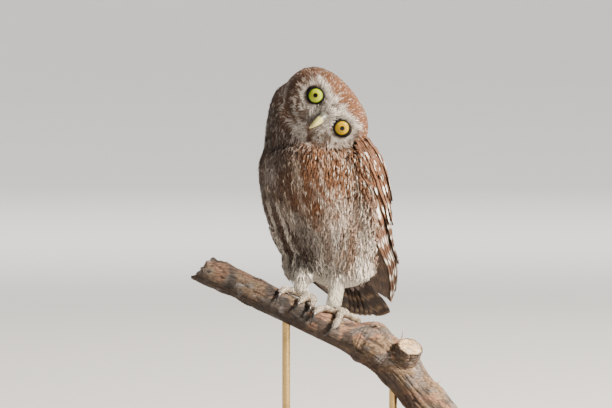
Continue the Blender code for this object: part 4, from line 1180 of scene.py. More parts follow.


# One kind of small feather a region, in millimetres: how far apart the roots are, length, half width, lift
# off the hull, stray in degrees, raggedness of the tip and the half widths from root to tip. A flare is how
# much the tip stands out, layers how much roots differ in height, and root_shade how dark the root is
# painted as shade under its neighbours.
HAIR, THIN, CAMBER = (0.85, 0.95, 0.62, 0.12), (0.85, 1.0, 0.74, 0.14), 0.28
COAT = {
    "face": dict(
        spacing=0.56, length=face_length, wide=face_wide, lift=0.3, stray=15, ragged=0.12, profile=HAIR,
        rows=3, columns=3, flare=0.7, layers=0.3, slot="head_feathers", finish="fine_feathers",
    ),
    "crown": dict(
        spacing=0.88, length=6.2, wide=0.66, lift=0.35, stray=9, ragged=0.16, profile=THIN,
        columns=3, layers=0.5, slot="head_feathers", finish="fine_feathers",
    ),
    "neck": dict(spacing=1.05, length=9.5, wide=0.82, lift=side_lift, stray=14, ragged=0.28, profile=THIN),
    "breast": dict(spacing=1.00, length=11, wide=0.80, lift=side_lift, stray=11, ragged=0.28, profile=THIN),
    "belly": dict(
        spacing=0.99, length=belly_length, wide=0.78, lift=1.4, stray=13, ragged=0.34, profile=THIN,
        flare=0.55, root_shade=0.78, finish="downy_feathers",
    ),
    "back": dict(
        spacing=1.4, length=11, wide=1.75, lift=0.7, stray=9, ragged=0.18, profile=(0.8, 1.0, 0.85, 0.3),
        slot="brown_feathers",
    ),
    "legs": dict(
        spacing=0.86, length=leg_length, wide=0.36, lift=0.35, stray=12, ragged=0.15, profile=HAIR,
        rows=3, columns=3, root_shade=0.92, slot="leg_feathers", finish="leg_down",
    ),
}
BAKE_PATCH = 0.0014


def make_coat(scale):
    """All small feathers. Scale is how far apart the roots are, 1 for the full coat."""
    for number, name in enumerate(COAT):
        feathers(name, 100 + 10 * number, scale)


# Wings and tail

# One tier a row: kind, count, then for the first and last feather the azimuth in degrees and z of the
# root and of the tip, then half width, lift off the hull, tilt of the front edge and tip roundness
TIERS = (
    ("inner", 10, (48, 226), (80, 236), (50, 158), (92, 149.5), 4.2, 0.1, 1.0, 0.24),
    ("flight", 9, (73, 242), (110, 242), (90, 149.5), (130, 172), 3.7, 0.7, 1.9, 0.22),
    ("flight", 10, (92, 243), (158, 246), (110, 183), (170, 197), 5.0, 3.0, 1.7, 0.28),
    ("covert", 13, (76, 258), (158, 261), (85, 219), (165, 224), 4.3, 4.9, 1.5, 0.42),
    ("covert", 14, (72, 267), (150, 269), (79, 238), (157, 242), 3.8, 6.0, 1.4, 0.46),
    ("lesser", 22, (70, 276), (142, 278), (75, 255), (148, 257), 2.5, 6.3, 1.1, 0.46),
    ("lesser", 23, (68, 283), (140, 285), (73, 265), (146, 267), 2.2, 6.0, 0.9, 0.46),
    ("lesser", 23, (72, 289), (138, 291), (75, 273), (143, 275), 2.0, 5.3, 0.8, 0.46),
    ("lesser", 22, (79, 294), (136, 295), (80, 281), (140, 282), 1.9, 4.0, 0.7, 0.46),
    ("lesser", 18, (88, 299), (136, 300), (88, 288), (139, 289), 1.8, 2.4, 0.6, 0.46),
    ("scapular", 11, (105, 281), (164, 281), (112, 241), (168, 243), 4.2, 7.6, 1.2, 0.44),
    ("scapular", 12, (102, 288), (166, 287), (108, 255), (168, 256), 3.7, 7.3, 1.0, 0.44),
    ("scapular", 12, (100, 293), (168, 292), (106, 268), (169, 269), 3.2, 6.6, 0.9, 0.46),
    ("scapular", 12, (99, 299), (168, 298), (104, 279), (169, 280), 2.8, 5.0, 0.7, 0.46),
)
VANE_ROWS, VANE_COLUMNS, VANE_THICKNESS = 26, 9, 0.34


def hull_place(side, around, z, lift):
    """Points on the folded wing's hull. Around is in degrees, 90 square to the side."""
    p, wide, deep = read(WING_HULL, z).T
    turn = np.radians(around)
    return bird_point(p + (deep + lift) * np.cos(turn), side * (wide + lift) * np.sin(turn), z)


def vane_surface(middle, across, out, half, front_lift, draw, rounded):
    """A feather's vane as a thin closed plate: the web arched from a raised shaft, its tip rounded.

    Gives its points, how far along and across it they are, and 1 for those of its underside.
    """
    rows = VANE_ROWS
    share = np.linspace(0, 1, rows)
    spread = np.linspace(-1, 1, VANE_COLUMNS)
    closing = np.clip((share - (1 - rounded)) / rounded, 0, 1)
    width = half * (0.45 + 0.55 * soft(share, 0.0, 0.35))
    width = width * (np.sqrt(np.clip(1 - closing**2.3, 0, 1)) * 0.9 + 0.1)
    wave = 1 + 0.06 * np.sin(share * draw.uniform(9, 14) + draw.uniform(0, 6, 2)[:, None])
    slit = 1 - 0.30 * bell(share - draw.uniform(0.45, 0.9, 2)[:, None], 0.018)
    edge = np.where(spread < 0, (wave[0] * slit[0])[:, None], (wave[1] * slit[1])[:, None])
    step = spread * width[:, None] * edge
    rise = (0.55 * half * 0.22) * (1 - spread**2) + front_lift[:, None] * (1 - spread) / 2
    shaft = 0.22 * bell(spread, 0.10) * (1 - share[:, None])
    off = across[:, None] * step[..., None] + out[:, None] * (rise + shaft)[..., None]
    top = middle[:, None] + MM * off
    low = top - out[:, None] * (VANE_THICKNESS * (1 - 0.45 * share))[:, None, None] * MM
    points = np.concatenate([top.reshape(-1, 3), low.reshape(-1, 3)])
    along = np.tile(np.repeat(share, VANE_COLUMNS), 2)
    sides = np.tile(spread, 2 * rows)
    under = np.repeat([0.0, 1.0], rows * VANE_COLUMNS)
    return points, along, sides, under


def vane_colour(kind, along, across, under, draw):
    """The markings of flight, covert, scapular and tail feathers, with painted shade towards their roots."""
    tone = draw.uniform(0.75, 1.15)
    brown = mixed(BROWN, CROWN, draw.uniform(0.05, 0.50)) * tone
    colour = mixed(brown, np.array(DARK) * 1.5, 0.35 * soft(np.abs(across), 0.2, 1.0))
    shift = draw.uniform(-0.03, 0.03)
    if kind == "flight":
        bars = soft(bell(((along + shift) * 6.2) % 1 - 0.5, 0.17), 0.35, 0.65) * soft(along, 0.22, 0.3)
        colour = mixed(colour, DARK, 0.35)
        colour = mixed(colour, WHITE, 0.95 * bars * soft(-across, 0.42, 0.62))
        colour = mixed(colour, BUFF, 0.6 * bars * soft(across, 0.35, 0.7))
        colour = mixed(colour, mixed(BUFF, WHITE, 0.5), 0.8 * soft(along, 0.968, 0.99))
    elif kind == "inner":
        bars = bell(((along + shift) * 6.2) % 1 - 0.5, 0.16) * soft(along, 0.22, 0.3)
        # Inner feathers at 0.30 of their brown: their own dark brown, darkened further as painted shade.
        colour = mixed(colour * 0.30, BUFF, 0.12 * bars * soft(np.abs(across), 0.3, 0.8))
    elif kind == "tail":
        bars = bell(((along + shift) * 5.0) % 1 - 0.45, 0.12) * soft(along, 0.15, 0.25)
        # Tail at 0.20 of its brown: its own dark brown, darkened further as painted shade under the body.
        colour = mixed(colour * 0.20, BUFF, 0.35 * bars * soft(np.abs(across), 0.15, 0.5))
        colour = mixed(colour, mixed(BUFF, RUFOUS, 0.35), 0.55 * soft(along, 0.955, 0.99))
    else:
        big, chance = {"covert": (0.42, 0.9), "lesser": (0.40, 0.42), "scapular": (0.50, 0.72)}[kind]
        if draw.random() < chance:
            side = -0.45 + draw.uniform(-0.2, 0.2)
            big = big * draw.uniform(0.7, 1.1)
            reach = np.hypot((across - side) * 0.62, (along - draw.uniform(0.62, 0.86)) * 2.6) / big
            colour = mixed(colour, WHITE, 1 - soft(reach, 0.72, 1.05))
        if draw.random() < 0.6:
            side = 0.48 + draw.uniform(-0.1, 0.1)
            reach = np.hypot((across - side) * 0.62, (along - 0.60 + 3 * shift) * 2.8) / big
            colour = mixed(colour, mixed(BUFF, WHITE, 0.6), 1 - soft(reach, 0.50, 0.85))
        colour = mixed(colour, BUFF, 0.45 * soft(along, 0.962, 0.99))
    colour = mixed(colour, np.array(DARK) * 1.3, 0.7 * bell(across, 0.07) * (1 - under))
    if kind != "tail":
        colour = mixed(colour, (0.09, 0.066, 0.05), 0.6 * under)
    # Darker towards the root: painted shade where the feather lies under the next.
    return colour * (0.62 + 0.38 * soft(along, 0.05, 0.4))[:, None]


class Sheaf:
    """Gathers many vanes into one piece."""

    def __init__(self):
        self.vanes = []

    def put(self, points, colour, along, across, bake):
        """Adds a vane: its points, their colours, places in millimetres and places on the bake map."""
        self.vanes.append((points, colour, np.stack([along, across], -1), bake))

    def piece(self, name, slot, nodes, material):
        """Makes the piece from the vanes put in."""
        points, colour, fields, bake = (np.concatenate(part) for part in zip(*self.vanes))
        one = plate_faces(VANE_ROWS, VANE_COLUMNS)
        starts = np.arange(len(self.vanes)) * 2 * VANE_ROWS * VANE_COLUMNS
        faces = (one + starts[:, None, None]).reshape(-1, 4)
        fields = {"vane_along": fields[:, 0], "vane_across": fields[:, 1]}
        made(name, points, faces, material, colour, nodes, fields, bake)


def vane_patch(place, along, across, long, wide):
    """A vane's patch of the bake map: its own shape, laid from its root's place."""
    return np.stack([place[0] + across * wide, place[1] - along * long], -1)


def build_wing(label, side):
    """A folded wing: its feathers in tiers, and its thick part under them."""
    draw = np.random.default_rng(40 + side)
    sheaf = Sheaf()
    for kind, count, root_a, root_b, tip_a, tip_b, half, lift, tilt, rounded in TIERS:
        for n in range(count):
            share = n / (count - 1)
            start = np.array(root_a) + (np.array(root_b) - root_a) * share
            end = np.array(tip_a) + (np.array(tip_b) - tip_a) * share
            loose, stray = (0.8, 0.6) if kind in ("flight", "inner") else (4.6, 1.8)
            end[1] += draw.uniform(-loose, loose) + 0.8 * (n % 2)
            end[0] += draw.uniform(-1, 1) * stray
            t = np.linspace(0, 1, VANE_ROWS)
            around = start[0] + (end[0] - start[0]) * t + 1.2 * np.sin(np.pi * t) * draw.uniform(-1, 1)
            z = start[1] + (end[1] - start[1]) * t
            low_front = 0.45 + 0.55 * soft(share, 0, 0.2) if kind in ("lesser", "covert") else 1.0
            here = lift * low_front + draw.uniform(-0.12, 0.12)
            height = 0.6 + (here - 0.6) * soft(t, 0.0, 0.32)
            middle = hull_place(side, around, z, height)
            ahead = unit(np.gradient(middle, axis=0))
            back = hull_place(side, around + 2, z, height) - middle
            across = square_to(back, ahead)
            out = unit(hull_place(side, around, z, height + 1) - middle)
            out = square_to(out - across * (out * across).sum(1, keepdims=True), ahead)
            rise = tilt * low_front * soft(t, 0.15, 0.65)
            wide = half * draw.uniform(0.94, 1.06)
            points, along, sides, under = vane_surface(middle, across, out, wide, rise, draw, rounded)
            colour = vane_colour(kind, along, sides, under, draw)
            row, column = divmod(len(sheaf.vanes), 15)
            bake = vane_patch((0.03 + 0.066 * column, 0.985 - 0.070 * row), along, sides, 0.066, 0.029)
            length = np.linalg.norm(middle[-1] - middle[0]) / MM
            sheaf.put(points, colour, along * length, sides * half, bake)
    sheaf.piece("wing_feathers_" + label, "brown_feathers", ("wing_" + label,), "wing_vanes")
    build_wing_arm(label, side)


def build_wing_arm(label, side):
    """The wing's thick part, which carries its feathers."""
    rows, columns = 40, 40
    share = np.repeat(np.linspace(0, 1, rows), columns)
    across = np.tile(np.linspace(0, 1, columns), rows)
    z = 196 + 98 * share
    around = 68 + 100 * across + 14 * (1 - share + soft(share, 0.8, 1.0)) * (1 - across)
    edge = soft(across, 0, 0.25) * (1 - 0.7 * soft(across, 0.85, 1.0))
    rise = soft(share, 0.1, 0.62) * (1 - soft(share, 0.72, 1.0))
    top = hull_place(side, around, z, -1.2 + 5.8 * edge * rise)
    low = hull_place(side, around, z, np.full(rows * columns, -4.0))
    points = np.concatenate([top, low])
    colour = mixed(BROWN, CROWN, cloud(points / MM, 4, 6)) * 0.75
    faces = plate_faces(rows, columns)
    made("wing_arm_" + label, points, faces, "under_down", colour, turn_out=True)


def tail_place(along, q, out):
    """Points of the tail: along its slope, to the bird's left and off its upper side."""
    p = -math.sin(TAIL_SLOPE) * along - math.cos(TAIL_SLOPE) * out
    z = -math.cos(TAIL_SLOPE) * along + math.sin(TAIL_SLOPE) * out
    return bird_point(TAIL_ROOT[0] + p, q, TAIL_ROOT[2] + z)


def build_tail():
    """Pairs of tail feathers fanned from their root, with coverts over and under it."""
    draw = np.random.default_rng(77)
    sheaf = Sheaf()
    up_side = unit(tail_place(0, 0, 1) - tail_place(0, 0, 0))
    t = np.linspace(0, 1, VANE_ROWS)
    # Each vane's root and tip to the side, start and end along the tail, place off it and half width
    vanes = []
    for pair in range(TAIL_PAIRS):
        for side in (1, -1):
            layer = pair + (1 if pair or side < 0 else 0)
            end = TAIL_LENGTH - TAIL_ROUND * (pair / (TAIL_PAIRS - 1)) ** 1.6
            vanes.append((side * (0.7 + 1.3 * pair), side * (2 + 3.9 * pair), 6, end, -1.1 * layer, 5.6))
    for n in range(13):
        q = -12 + 2 * n
        off = abs(q)
        vanes.append((0.5 * q, 0.9 * q, 4, 42 - 0.4 * off + 4 * (n % 3), 1.6 - 0.05 * off, 3.2))
        vanes.append((0.6 * q, 0.9 * q, 6, 40 - 0.4 * off + 5 * (n % 3), -9.0 + 0.1 * off, 2.7))
    for number, (root_q, tip_q, start, length, out, half) in enumerate(vanes):
        covert = number >= 2 * TAIL_PAIRS
        below = covert and out < 0
        along_tail = start + (length - start) * t
        q = root_q + (tip_q - root_q) * t**1.1
        bend = 3.0 * t**2 - 4.0 * t * (1 - t)
        middle = tail_place(along_tail, q, out + bend * (0.5 if covert else 1.0))
        ahead = unit(np.gradient(middle, axis=0))
        beside = tail_place(along_tail, q + 1, out + bend) - tail_place(along_tail, q, out + bend)
        across = square_to(beside, ahead)
        normal = square_to(up_side * (-1 if below else 1), ahead)
        flat, rounded = np.zeros(VANE_ROWS), 0.4 if covert else 0.22
        points, along, sides, under = vane_surface(middle, across, normal, half, flat, draw, rounded)
        if below:
            # Darker towards the root: painted shade under the tail.
            colour = mixed(GREY, ASH, 0.35) * (0.7 + 0.3 * along)[:, None]
            colour = mixed(colour, BROWN, 0.7 * bell(sides, 0.35) * soft(along, 0.2, 0.5))
        else:
            colour = vane_colour("covert" if covert else "tail", along, sides, under, draw)
        row, column = divmod(number, 8)
        bake = vane_patch((0.04 + 0.12 * column, 0.96 - 0.19 * row), along, sides, 0.16, 0.045)
        sheaf.put(points, colour, along * (length - start), sides * half, bake)
    sheaf.piece("tail_feathers", "brown_feathers", ("tail",), "tail_vanes")


# Face


def eye_frame(side):
    """The middle of an eye, the way it looks, and the directions to its outer corner and its top."""
    axis = unit(HEAD_F * math.cos(EYE_SPLAY) + HEAD_E * side * math.sin(EYE_SPLAY))
    outer, top = square_to(HEAD_E * side, axis), square_to(HEAD_U, axis)
    return head_point(side * EYE_SIDE, EYE_HIGH, EYE_DEEP), axis, outer, top


def ring_of(turn, first, second):
    """Unit vectors at these angles in the plane of two unit vectors."""
    return first * np.cos(turn)[:, None] + second * np.sin(turn)[:, None]


def build_eye(label, side, iris, inner_iris):
    """One eyeball: pupil, rayed iris and dark rim, bulged a little at the front."""
    centre, axis, outer, top = eye_frame(side)
    rows, sides = 72, 64
    tilt = np.pi * np.linspace(0, 1, rows) ** 1.35
    tilt[0], tilt[-1] = 0.004, np.pi - 0.004
    size = EYE_RADIUS + 0.35 * bell(tilt, 0.75)
    ring = ring_of(full_turn(sides), outer, top)
    rings = centre + MM * size[:, None, None] * (
        ring * np.sin(tilt)[:, None, None] + axis * np.cos(tilt)[:, None, None]
    )
    points, faces = closed_tube(rings)
    off = (points - centre) / MM
    depth = off @ axis
    reach = np.where(depth > 0, np.linalg.norm(off - depth[:, None] * axis, axis=1), 9.0)
    around = np.arctan2(off @ top, off @ outer)
    colour = mixed(inner_iris, iris, soft(reach, 2.3, 5.8))
    colour = mixed(colour, iris * 0.22, soft(reach, 5.0, 6.1))
    black = np.maximum(1 - soft(reach, PUPIL - 0.15, PUPIL + 0.15), soft(reach, IRIS, IRIS + 0.3))
    colour = mixed(colour, (0.003, 0.003, 0.003), black)
    share = soft(reach, 2.5, 3.0) * (1 - soft(reach, 5.6, 6.2)) * 0.9
    fields = {"ray_turn": around, "iris_share": share}
    node = ("eye_" + label,)
    made("eyeball_" + label, points, faces, "eye_gloss", colour, node, fields, turn_out=True)


def build_lids(label, side):
    """The dark lids round one eye, thick at the corners, in two rolls."""
    centre, axis, outer, top = eye_frame(side)
    steps, sides = 96, 16
    turn = full_turn(steps)
    ring = ring_of(turn, outer, top)
    corner = np.abs(np.cos(turn)) ** 5
    for name, radius, out, thick in (("rim", LID_RADIUS, LID_OUT, 0.95), ("fold", 7.65, 4.35, 0.85)):
        reach = radius + 0.25 * corner - 0.35 * np.clip(np.sin(turn), 0, 1) ** 3
        reach = reach + 0.07 * np.sin(turn * 17)
        size = thick * (1 + 0.60 * corner)
        middle = centre + MM * (ring * reach[:, None] + axis * out)
        axes = np.tile(axis, (steps, 1))
        points = tube_rings(middle, ring, axes, size * MM, size * MM, sides).reshape(-1, 3)
        faces = grid_faces(steps + 1, sides, True) % (steps * sides)
        shade = cloud(points / MM, 0.8, 4) * (name == "fold")
        colour = mixed((0.004, 0.0035, 0.0035), (0.012, 0.010, 0.009), shade)
        name = f"lid_{name}_{label}"
        made(name, points, faces, "lid_skin", colour, turn_out=True)


def build_mandible(name, table, colours):
    """One half of the bill: its cere, ridge and cutting edge, with a nostril each side of the upper."""
    horn, cere, tip = colours
    rows, sides = 70, 44
    upper = name == "bill_upper"
    keyed = [(i, *row) for i, row in enumerate(table)]
    u, f, wide, thick = read(keyed, np.linspace(0, len(table) - 1, rows)).T
    if upper:
        wide, thick = np.maximum(wide, 0.35) * 0.92, np.maximum(thick, 0.35)
    centres = head_point(0, u, f)
    ahead = unit(np.gradient(centres, axis=0))
    across = np.tile(HEAD_E, (rows, 1))
    over = np.cross(ahead, across)
    over *= np.sign(over @ (HEAD_F + HEAD_U) + 1e-9)[:, None]
    rings = tube_rings(centres, across, over, wide * MM, thick * MM, sides)
    points, faces = closed_tube(rings)
    e, pu, pf = in_head(points)
    share = np.append(np.repeat(np.linspace(0, 1, rows), sides), (0.0, 1.0))
    turn = np.append(np.tile(full_turn(sides), rows), (0.0, 0.0))
    out = np.concatenate([unit(rings - centres[:, None]).reshape(-1, 3), np.zeros((2, 3))])
    ridge = bell(turn - np.pi / 2, 0.35) * soft(share, 0.25, 0.5)
    cere_share = 1 - soft(share, 0.40, 0.50)
    lift = 0.25 * ridge - 0.25 * cere_share * upper
    colour = mixed(horn, tip, soft(share, 0.72, 1.0))
    growth = 0.5 + 0.5 * np.sin(share * 95 + 4 * cloud(points / MM, 3, 2))
    colour = colour * (0.90 + 0.10 * growth)[:, None]
    colour = mixed(colour, cere, cere_share)
    if upper:
        side, nu, nf = NOSTRIL
        from_nostril = np.sqrt((np.abs(e) - side) ** 2 + (pu - nu) ** 2 + (pf - nf) ** 2)
        lift = lift - 0.9 * bell(from_nostril, 0.95) + 0.35 * bell(from_nostril - 1.5, 0.5)
        # The sunken nostril is painted dark: painted shade in the hole.
        colour = mixed(colour, (0.03, 0.025, 0.025), soft(1.55 - from_nostril, 0, 0.7))
    points = points + out * (lift * MM)[:, None]
    made(name + "_horn", points, faces, "bill_gloss", colour, (name,), turn_out=True)


def spikes(name, material, roots, normals, ways, size, lean, colours, on_map, draw):
    """A piece of bristles: thin curved spikes of three sides, each a patch of the bake map.

    Size is their length and half width in millimetres, and colours are those of the root and tip.
    """
    count = len(roots)
    steps = (0.0, 0.4, 0.75, 1.0)
    length = size[0] * draw.uniform(0.7, 1.25, count)
    beside = np.cross(normals, ways)
    ways = unit(ways + beside * draw.normal(0, 0.22, count)[:, None])
    points = []
    for step in steps:
        rise = lean * length * step * (1 - 0.55 * step)
        middle = roots + MM * (ways * (length * step)[:, None] + normals * (rise - 0.25)[:, None])
        if step == 1:
            points.append(middle[:, None])
            continue
        half = size[1] * (1 - 0.75 * step) * MM
        ring = [middle + half * (beside * math.cos(a) + normals * math.sin(a)) for a in (0.5, 2.6, 4.7)]
        points.append(np.stack(ring, 1))
    points = np.concatenate(points, 1)
    each = points.shape[1]
    offsets = (np.arange(count) * each)[:, None, None]
    triangles = np.array([(0, 2, 1), (6, 7, 9), (7, 8, 9), (8, 6, 9)])
    faces = [(part + offsets).reshape(-1, part.shape[1]) for part in (grid_faces(3, 3, True), triangles)]
    along = np.tile([*np.repeat(steps[:-1], 3), 1.0], count)
    colour = mixed(np.repeat(colours[0], each, axis=0), colours[1], soft(along, 0.3, 1.0))
    corner = np.tile([-1, 0, 1, -1, 0, 1, -1, 0, 1, 0], (count, 1))
    patch = np.stack([corner, along.reshape(-1, each) * 2 - 1], -1)
    bake = on_map(points[:, 0])[:, None] + BAKE_PATCH * patch
    fields = {"vane_along": along * 4, "vane_across": corner.ravel() * 0.5}
    points, bake = points.reshape(-1, 3), bake.reshape(-1, 2)
    made(name, points, faces, material, colour, fields=fields, bake=bake)


def build_bristles():
    """The stiff pale bristles that spring from the lores and lie over the bill's root."""
    base = hull()
    draw = np.random.default_rng(61)

    def where(points):
        e, u, f = in_head(points)
        beside, above = np.hypot(np.abs(e) - 5.4, (u + 4) / 2.0), np.hypot(e / 1.6, u - 2.5)
        ring = np.maximum(bell(beside, 3.4), bell(above, 3.6))
        return ring * (f > 14) * (head_share(points) > 0.5)

    roots, way, _ = base.scatter(0.50, 62, where)
    normals = base.trace(roots, way, np.zeros(len(roots)), 0)[1][:, 0]
    e = in_head(roots)[0]
    aim = np.stack([-0.10 * e + 0.05 * np.sign(e), -0.80 + 0 * e, 0.62 + 0 * e], -1)
    ways = unit(aim @ np.array([HEAD_E, HEAD_U, HEAD_F]))
    dark = draw.random(len(roots)) < 0.45
    colours = mixed(WHITE, DARK, dark * 0.85), (0.10, 0.08, 0.07)
    spikes(
        "lore_bristles", "fine_feathers", roots, normals, ways, (7.2, 0.20), 0.35, colours,
        head_map, draw,
    )


# Branch and feet

BARK_TAN, BARK_PINK, BARK_GREY = (0.27, 0.180, 0.110), (0.30, 0.165, 0.105), (0.19, 0.155, 0.135)
BARK_CHARCOAL, PAINTED_BARK_SHADE, BARK_FURROW = (0.045, 0.037, 0.036), (0.07, 0.048, 0.036), (0.03, 0.021, 0.017)
TORN_DARK, TORN_PALE = (0.16, 0.115, 0.09), (0.33, 0.25, 0.19)
CUT_WOOD, CUT_RING, CUT_PALE = (0.80, 0.58, 0.34), (0.55, 0.35, 0.18), (0.86, 0.74, 0.58)
TOE_PALE, TOE_DARK = (0.36, 0.29, 0.21), (0.17, 0.135, 0.10)
CLAW_GREY, CLAW_BLACK = (0.16, 0.14, 0.13), (0.018, 0.016, 0.017)


def branch_at(x):
    """Centre, radius, and the directions along, over and to the front of the branch, in millimetres."""
    x = np.atleast_1d(np.asarray(x, float))
    found = read(BRANCH, x)
    after, before = read(BRANCH, x + 1), read(BRANCH, x - 1)
    along = unit(np.concatenate([np.full((len(x), 1), 2.0), (after - before)[:, :2]], 1))
    front = np.array([0.0, -1.0, 0.0])
    over = unit(np.cross(along, front))
    over *= np.where(over[:, 2] < 0, -1, 1)[:, None]
    centre = np.concatenate([x[:, None], found[:, :2]], 1)
    return centre, found[:, 2], along, over, square_to(front, along)


def bark_swell(x, angle):
    """How far the knot, the collar of the stub and the bark's lumps stand off the branch's radius."""

    def beside(middle):
        return np.minimum(np.abs(angle - middle), np.abs(angle - middle - 360))

    knot = KNOT_SWELL * bell(x - KNOT_X, KNOT_SPREAD) * bell(beside(88), 62)
    collar = COLLAR_SWELL * bell(x - COLLAR_X, COLLAR_SPREAD) * bell(beside(62), 70)
    turn = np.radians(angle)
    lumps = np.sin(x * 0.21 + turn * 2) + 0.6 * np.sin(x * 0.39 - turn * 3 + 1)
    return knot + collar + 0.55 * lumps * off_feet(x)


def off_feet(x):
    """0 where the feet stand on the branch and 1 away from them."""
    return 1 - soft(x, -66, -58) * (1 - soft(x, 17, 24))


def on_branch(x, angle, height):
    """Points this high off the bark, at angles in degrees round the branch."""
    x, angle, height = np.broadcast_arrays(*(np.array(v, float, ndmin=1) for v in (x, angle, height)))
    centre, radius, _, over, front = branch_at(x)
    turn = np.radians(angle)[:, None]
    out = front * np.cos(turn) + over * np.sin(turn)
    return (centre + out * (radius + bark_swell(x, angle) + height)[:, None]) * MM


def bark_relief(x, angle, radius):
    """The bark's furrows, plates and wrinkled rings, in millimetres."""
    turn = np.radians(angle)
    round_it = np.stack([x, np.cos(turn) * radius, np.sin(turn) * radius], -1)
    furrow = np.abs(cloud(round_it, (13, 2.6, 2.6), 21) - 0.5) * 2
    plates = cloud(round_it, 5, 22)
    fine = cloud(round_it, (1.7, 1.2, 1.2), 23)
    wrinkle = np.sin(x * 2.6 + 2.2 * plates + 0.6 * np.sin(turn * 2))
    near_knot = bell(x - 19, 7) + 0.8 * bell(x - 43, 6) + 0.4 * bell(x + 70, 14)
    quiet = 0.30 + 0.70 * off_feet(x)
    relief = quiet * (0.9 * (plates - 0.5) - 0.9 * (1 - soft(furrow, 0.0, 0.20)) + 0.35 * (fine - 0.5))
    return relief + 0.42 * wrinkle * near_knot * (0.35 + 0.65 * off_feet(x)), furrow, plates


def bark_colour(points, x, angle, furrow, plates):
    """Tan and pinkish bark with grey patches, charcoal blotches and dark furrows, darker below and towards
    the branch's left end as painted shade.
    """
    place = points / MM
    colour = mixed(BARK_TAN, BARK_PINK, soft(cloud(place, (16, 9, 9), 31), 0.45, 0.62))
    colour = mixed(colour, BARK_GREY, soft(cloud(place, (9, 6, 6), 32), 0.52, 0.70))
    blotch = soft(cloud(place, (11, 7, 7), 33), 0.60, 0.70) * (0.55 + 0.3 * (1 - off_feet(x)))
    colour = mixed(colour, BARK_CHARCOAL, blotch)
    # Painted shade: the underside of the branch is darker.
    under = soft(-np.sin(np.radians(angle)), -0.1, 0.7)
    colour = mixed(colour, PAINTED_BARK_SHADE, 0.75 * under)
    colour = mixed(colour, BARK_FURROW, 0.8 * (1 - soft(furrow, 0.0, 0.16)))
    # Painted shade: the bark grows darker towards the branch's left end, the side away from the light.
    near = 0.42 + 0.58 * soft(x, -60, 15)
    return colour * ((0.8 + 0.4 * plates) * near)[:, None]


def cap_rings(ring, along, count, relief, seed):
    """Rings from an end's rim in to its middle, roughened along the branch by this relief."""
    centre = ring.mean(0)
    inner = centre + (ring - centre) * np.linspace(1, 0.04, count)[1:, None, None]
    rough = (cloud(inner / MM, 1.8, seed) - 0.5) * relief
    return inner + along * (rough * MM)[..., None]


def build_branch():
    """The branch: bark, furrows, knot and collar, a broken upper end and a sawn lower one."""
    rows, sides = ((340, 128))
    first, last = BRANCH[0][0], BRANCH[-1][0]
    x = np.repeat(np.linspace(first, last, rows), sides)
    angle = np.tile(np.arange(sides) * 360 / sides, rows)
    centre, radius, along, over, front = branch_at(x)
    relief, furrow, plates = bark_relief(x, angle, radius)
    turn = np.radians(angle)[:, None]
    out = front * np.cos(turn) + over * np.sin(turn)
    points = centre + out * (radius + bark_swell(x, angle) + relief)[:, None]
    turn = turn[:, 0]
    round_it = np.stack([np.cos(turn) * 5, np.sin(turn) * 5, 0 * x], -1)
    jag = 7 * np.sin(turn) + 1.5 * np.cos(3 * turn) + 3.4 * (cloud(round_it, 1, 41) - 0.5)
    points += along * (jag * soft(first + 12 - x, 0, 12))[:, None]
    points *= MM
    colour = bark_colour(points, x, angle, furrow, plates)
    grid = points.reshape(rows, sides, 3)
    broken = cap_rings(grid[0], -along[0], 12, 2.4, 42)
    sawn = cap_rings(grid[-1], along[-1], 14, 0.25, 43)
    points, faces = closed_tube(np.concatenate([broken[::-1], grid, sawn]))
    torn = mixed(TORN_DARK, TORN_PALE, cloud(broken.reshape(-1, 3) / MM, 1.5, 44))
    cut = cut_wood(np.repeat(np.linspace(1, 0.04, 14)[1:], sides) * BRANCH[-1][3], sawn.reshape(-1, 3))
    colour = np.concatenate([torn[::-1], colour, cut, torn[:1], cut[-1:]])
    made("branch_bark", points, faces, "dry_bark", colour, ("perch",), turn_out=True)


def cut_wood(reach, points):
    """Pale cut wood with growth rings, by distance from the pith in millimetres."""
    wave = 0.5 + 0.5 * np.sin(reach * 4.4 + 1.6 * cloud(points / MM, 3, 51))
    blot = soft(cloud(points / MM, 4, 52), 0.5, 0.8)
    return mixed(mixed(CUT_WOOD, CUT_RING, 0.6 * wave), CUT_PALE, blot * 0.7)


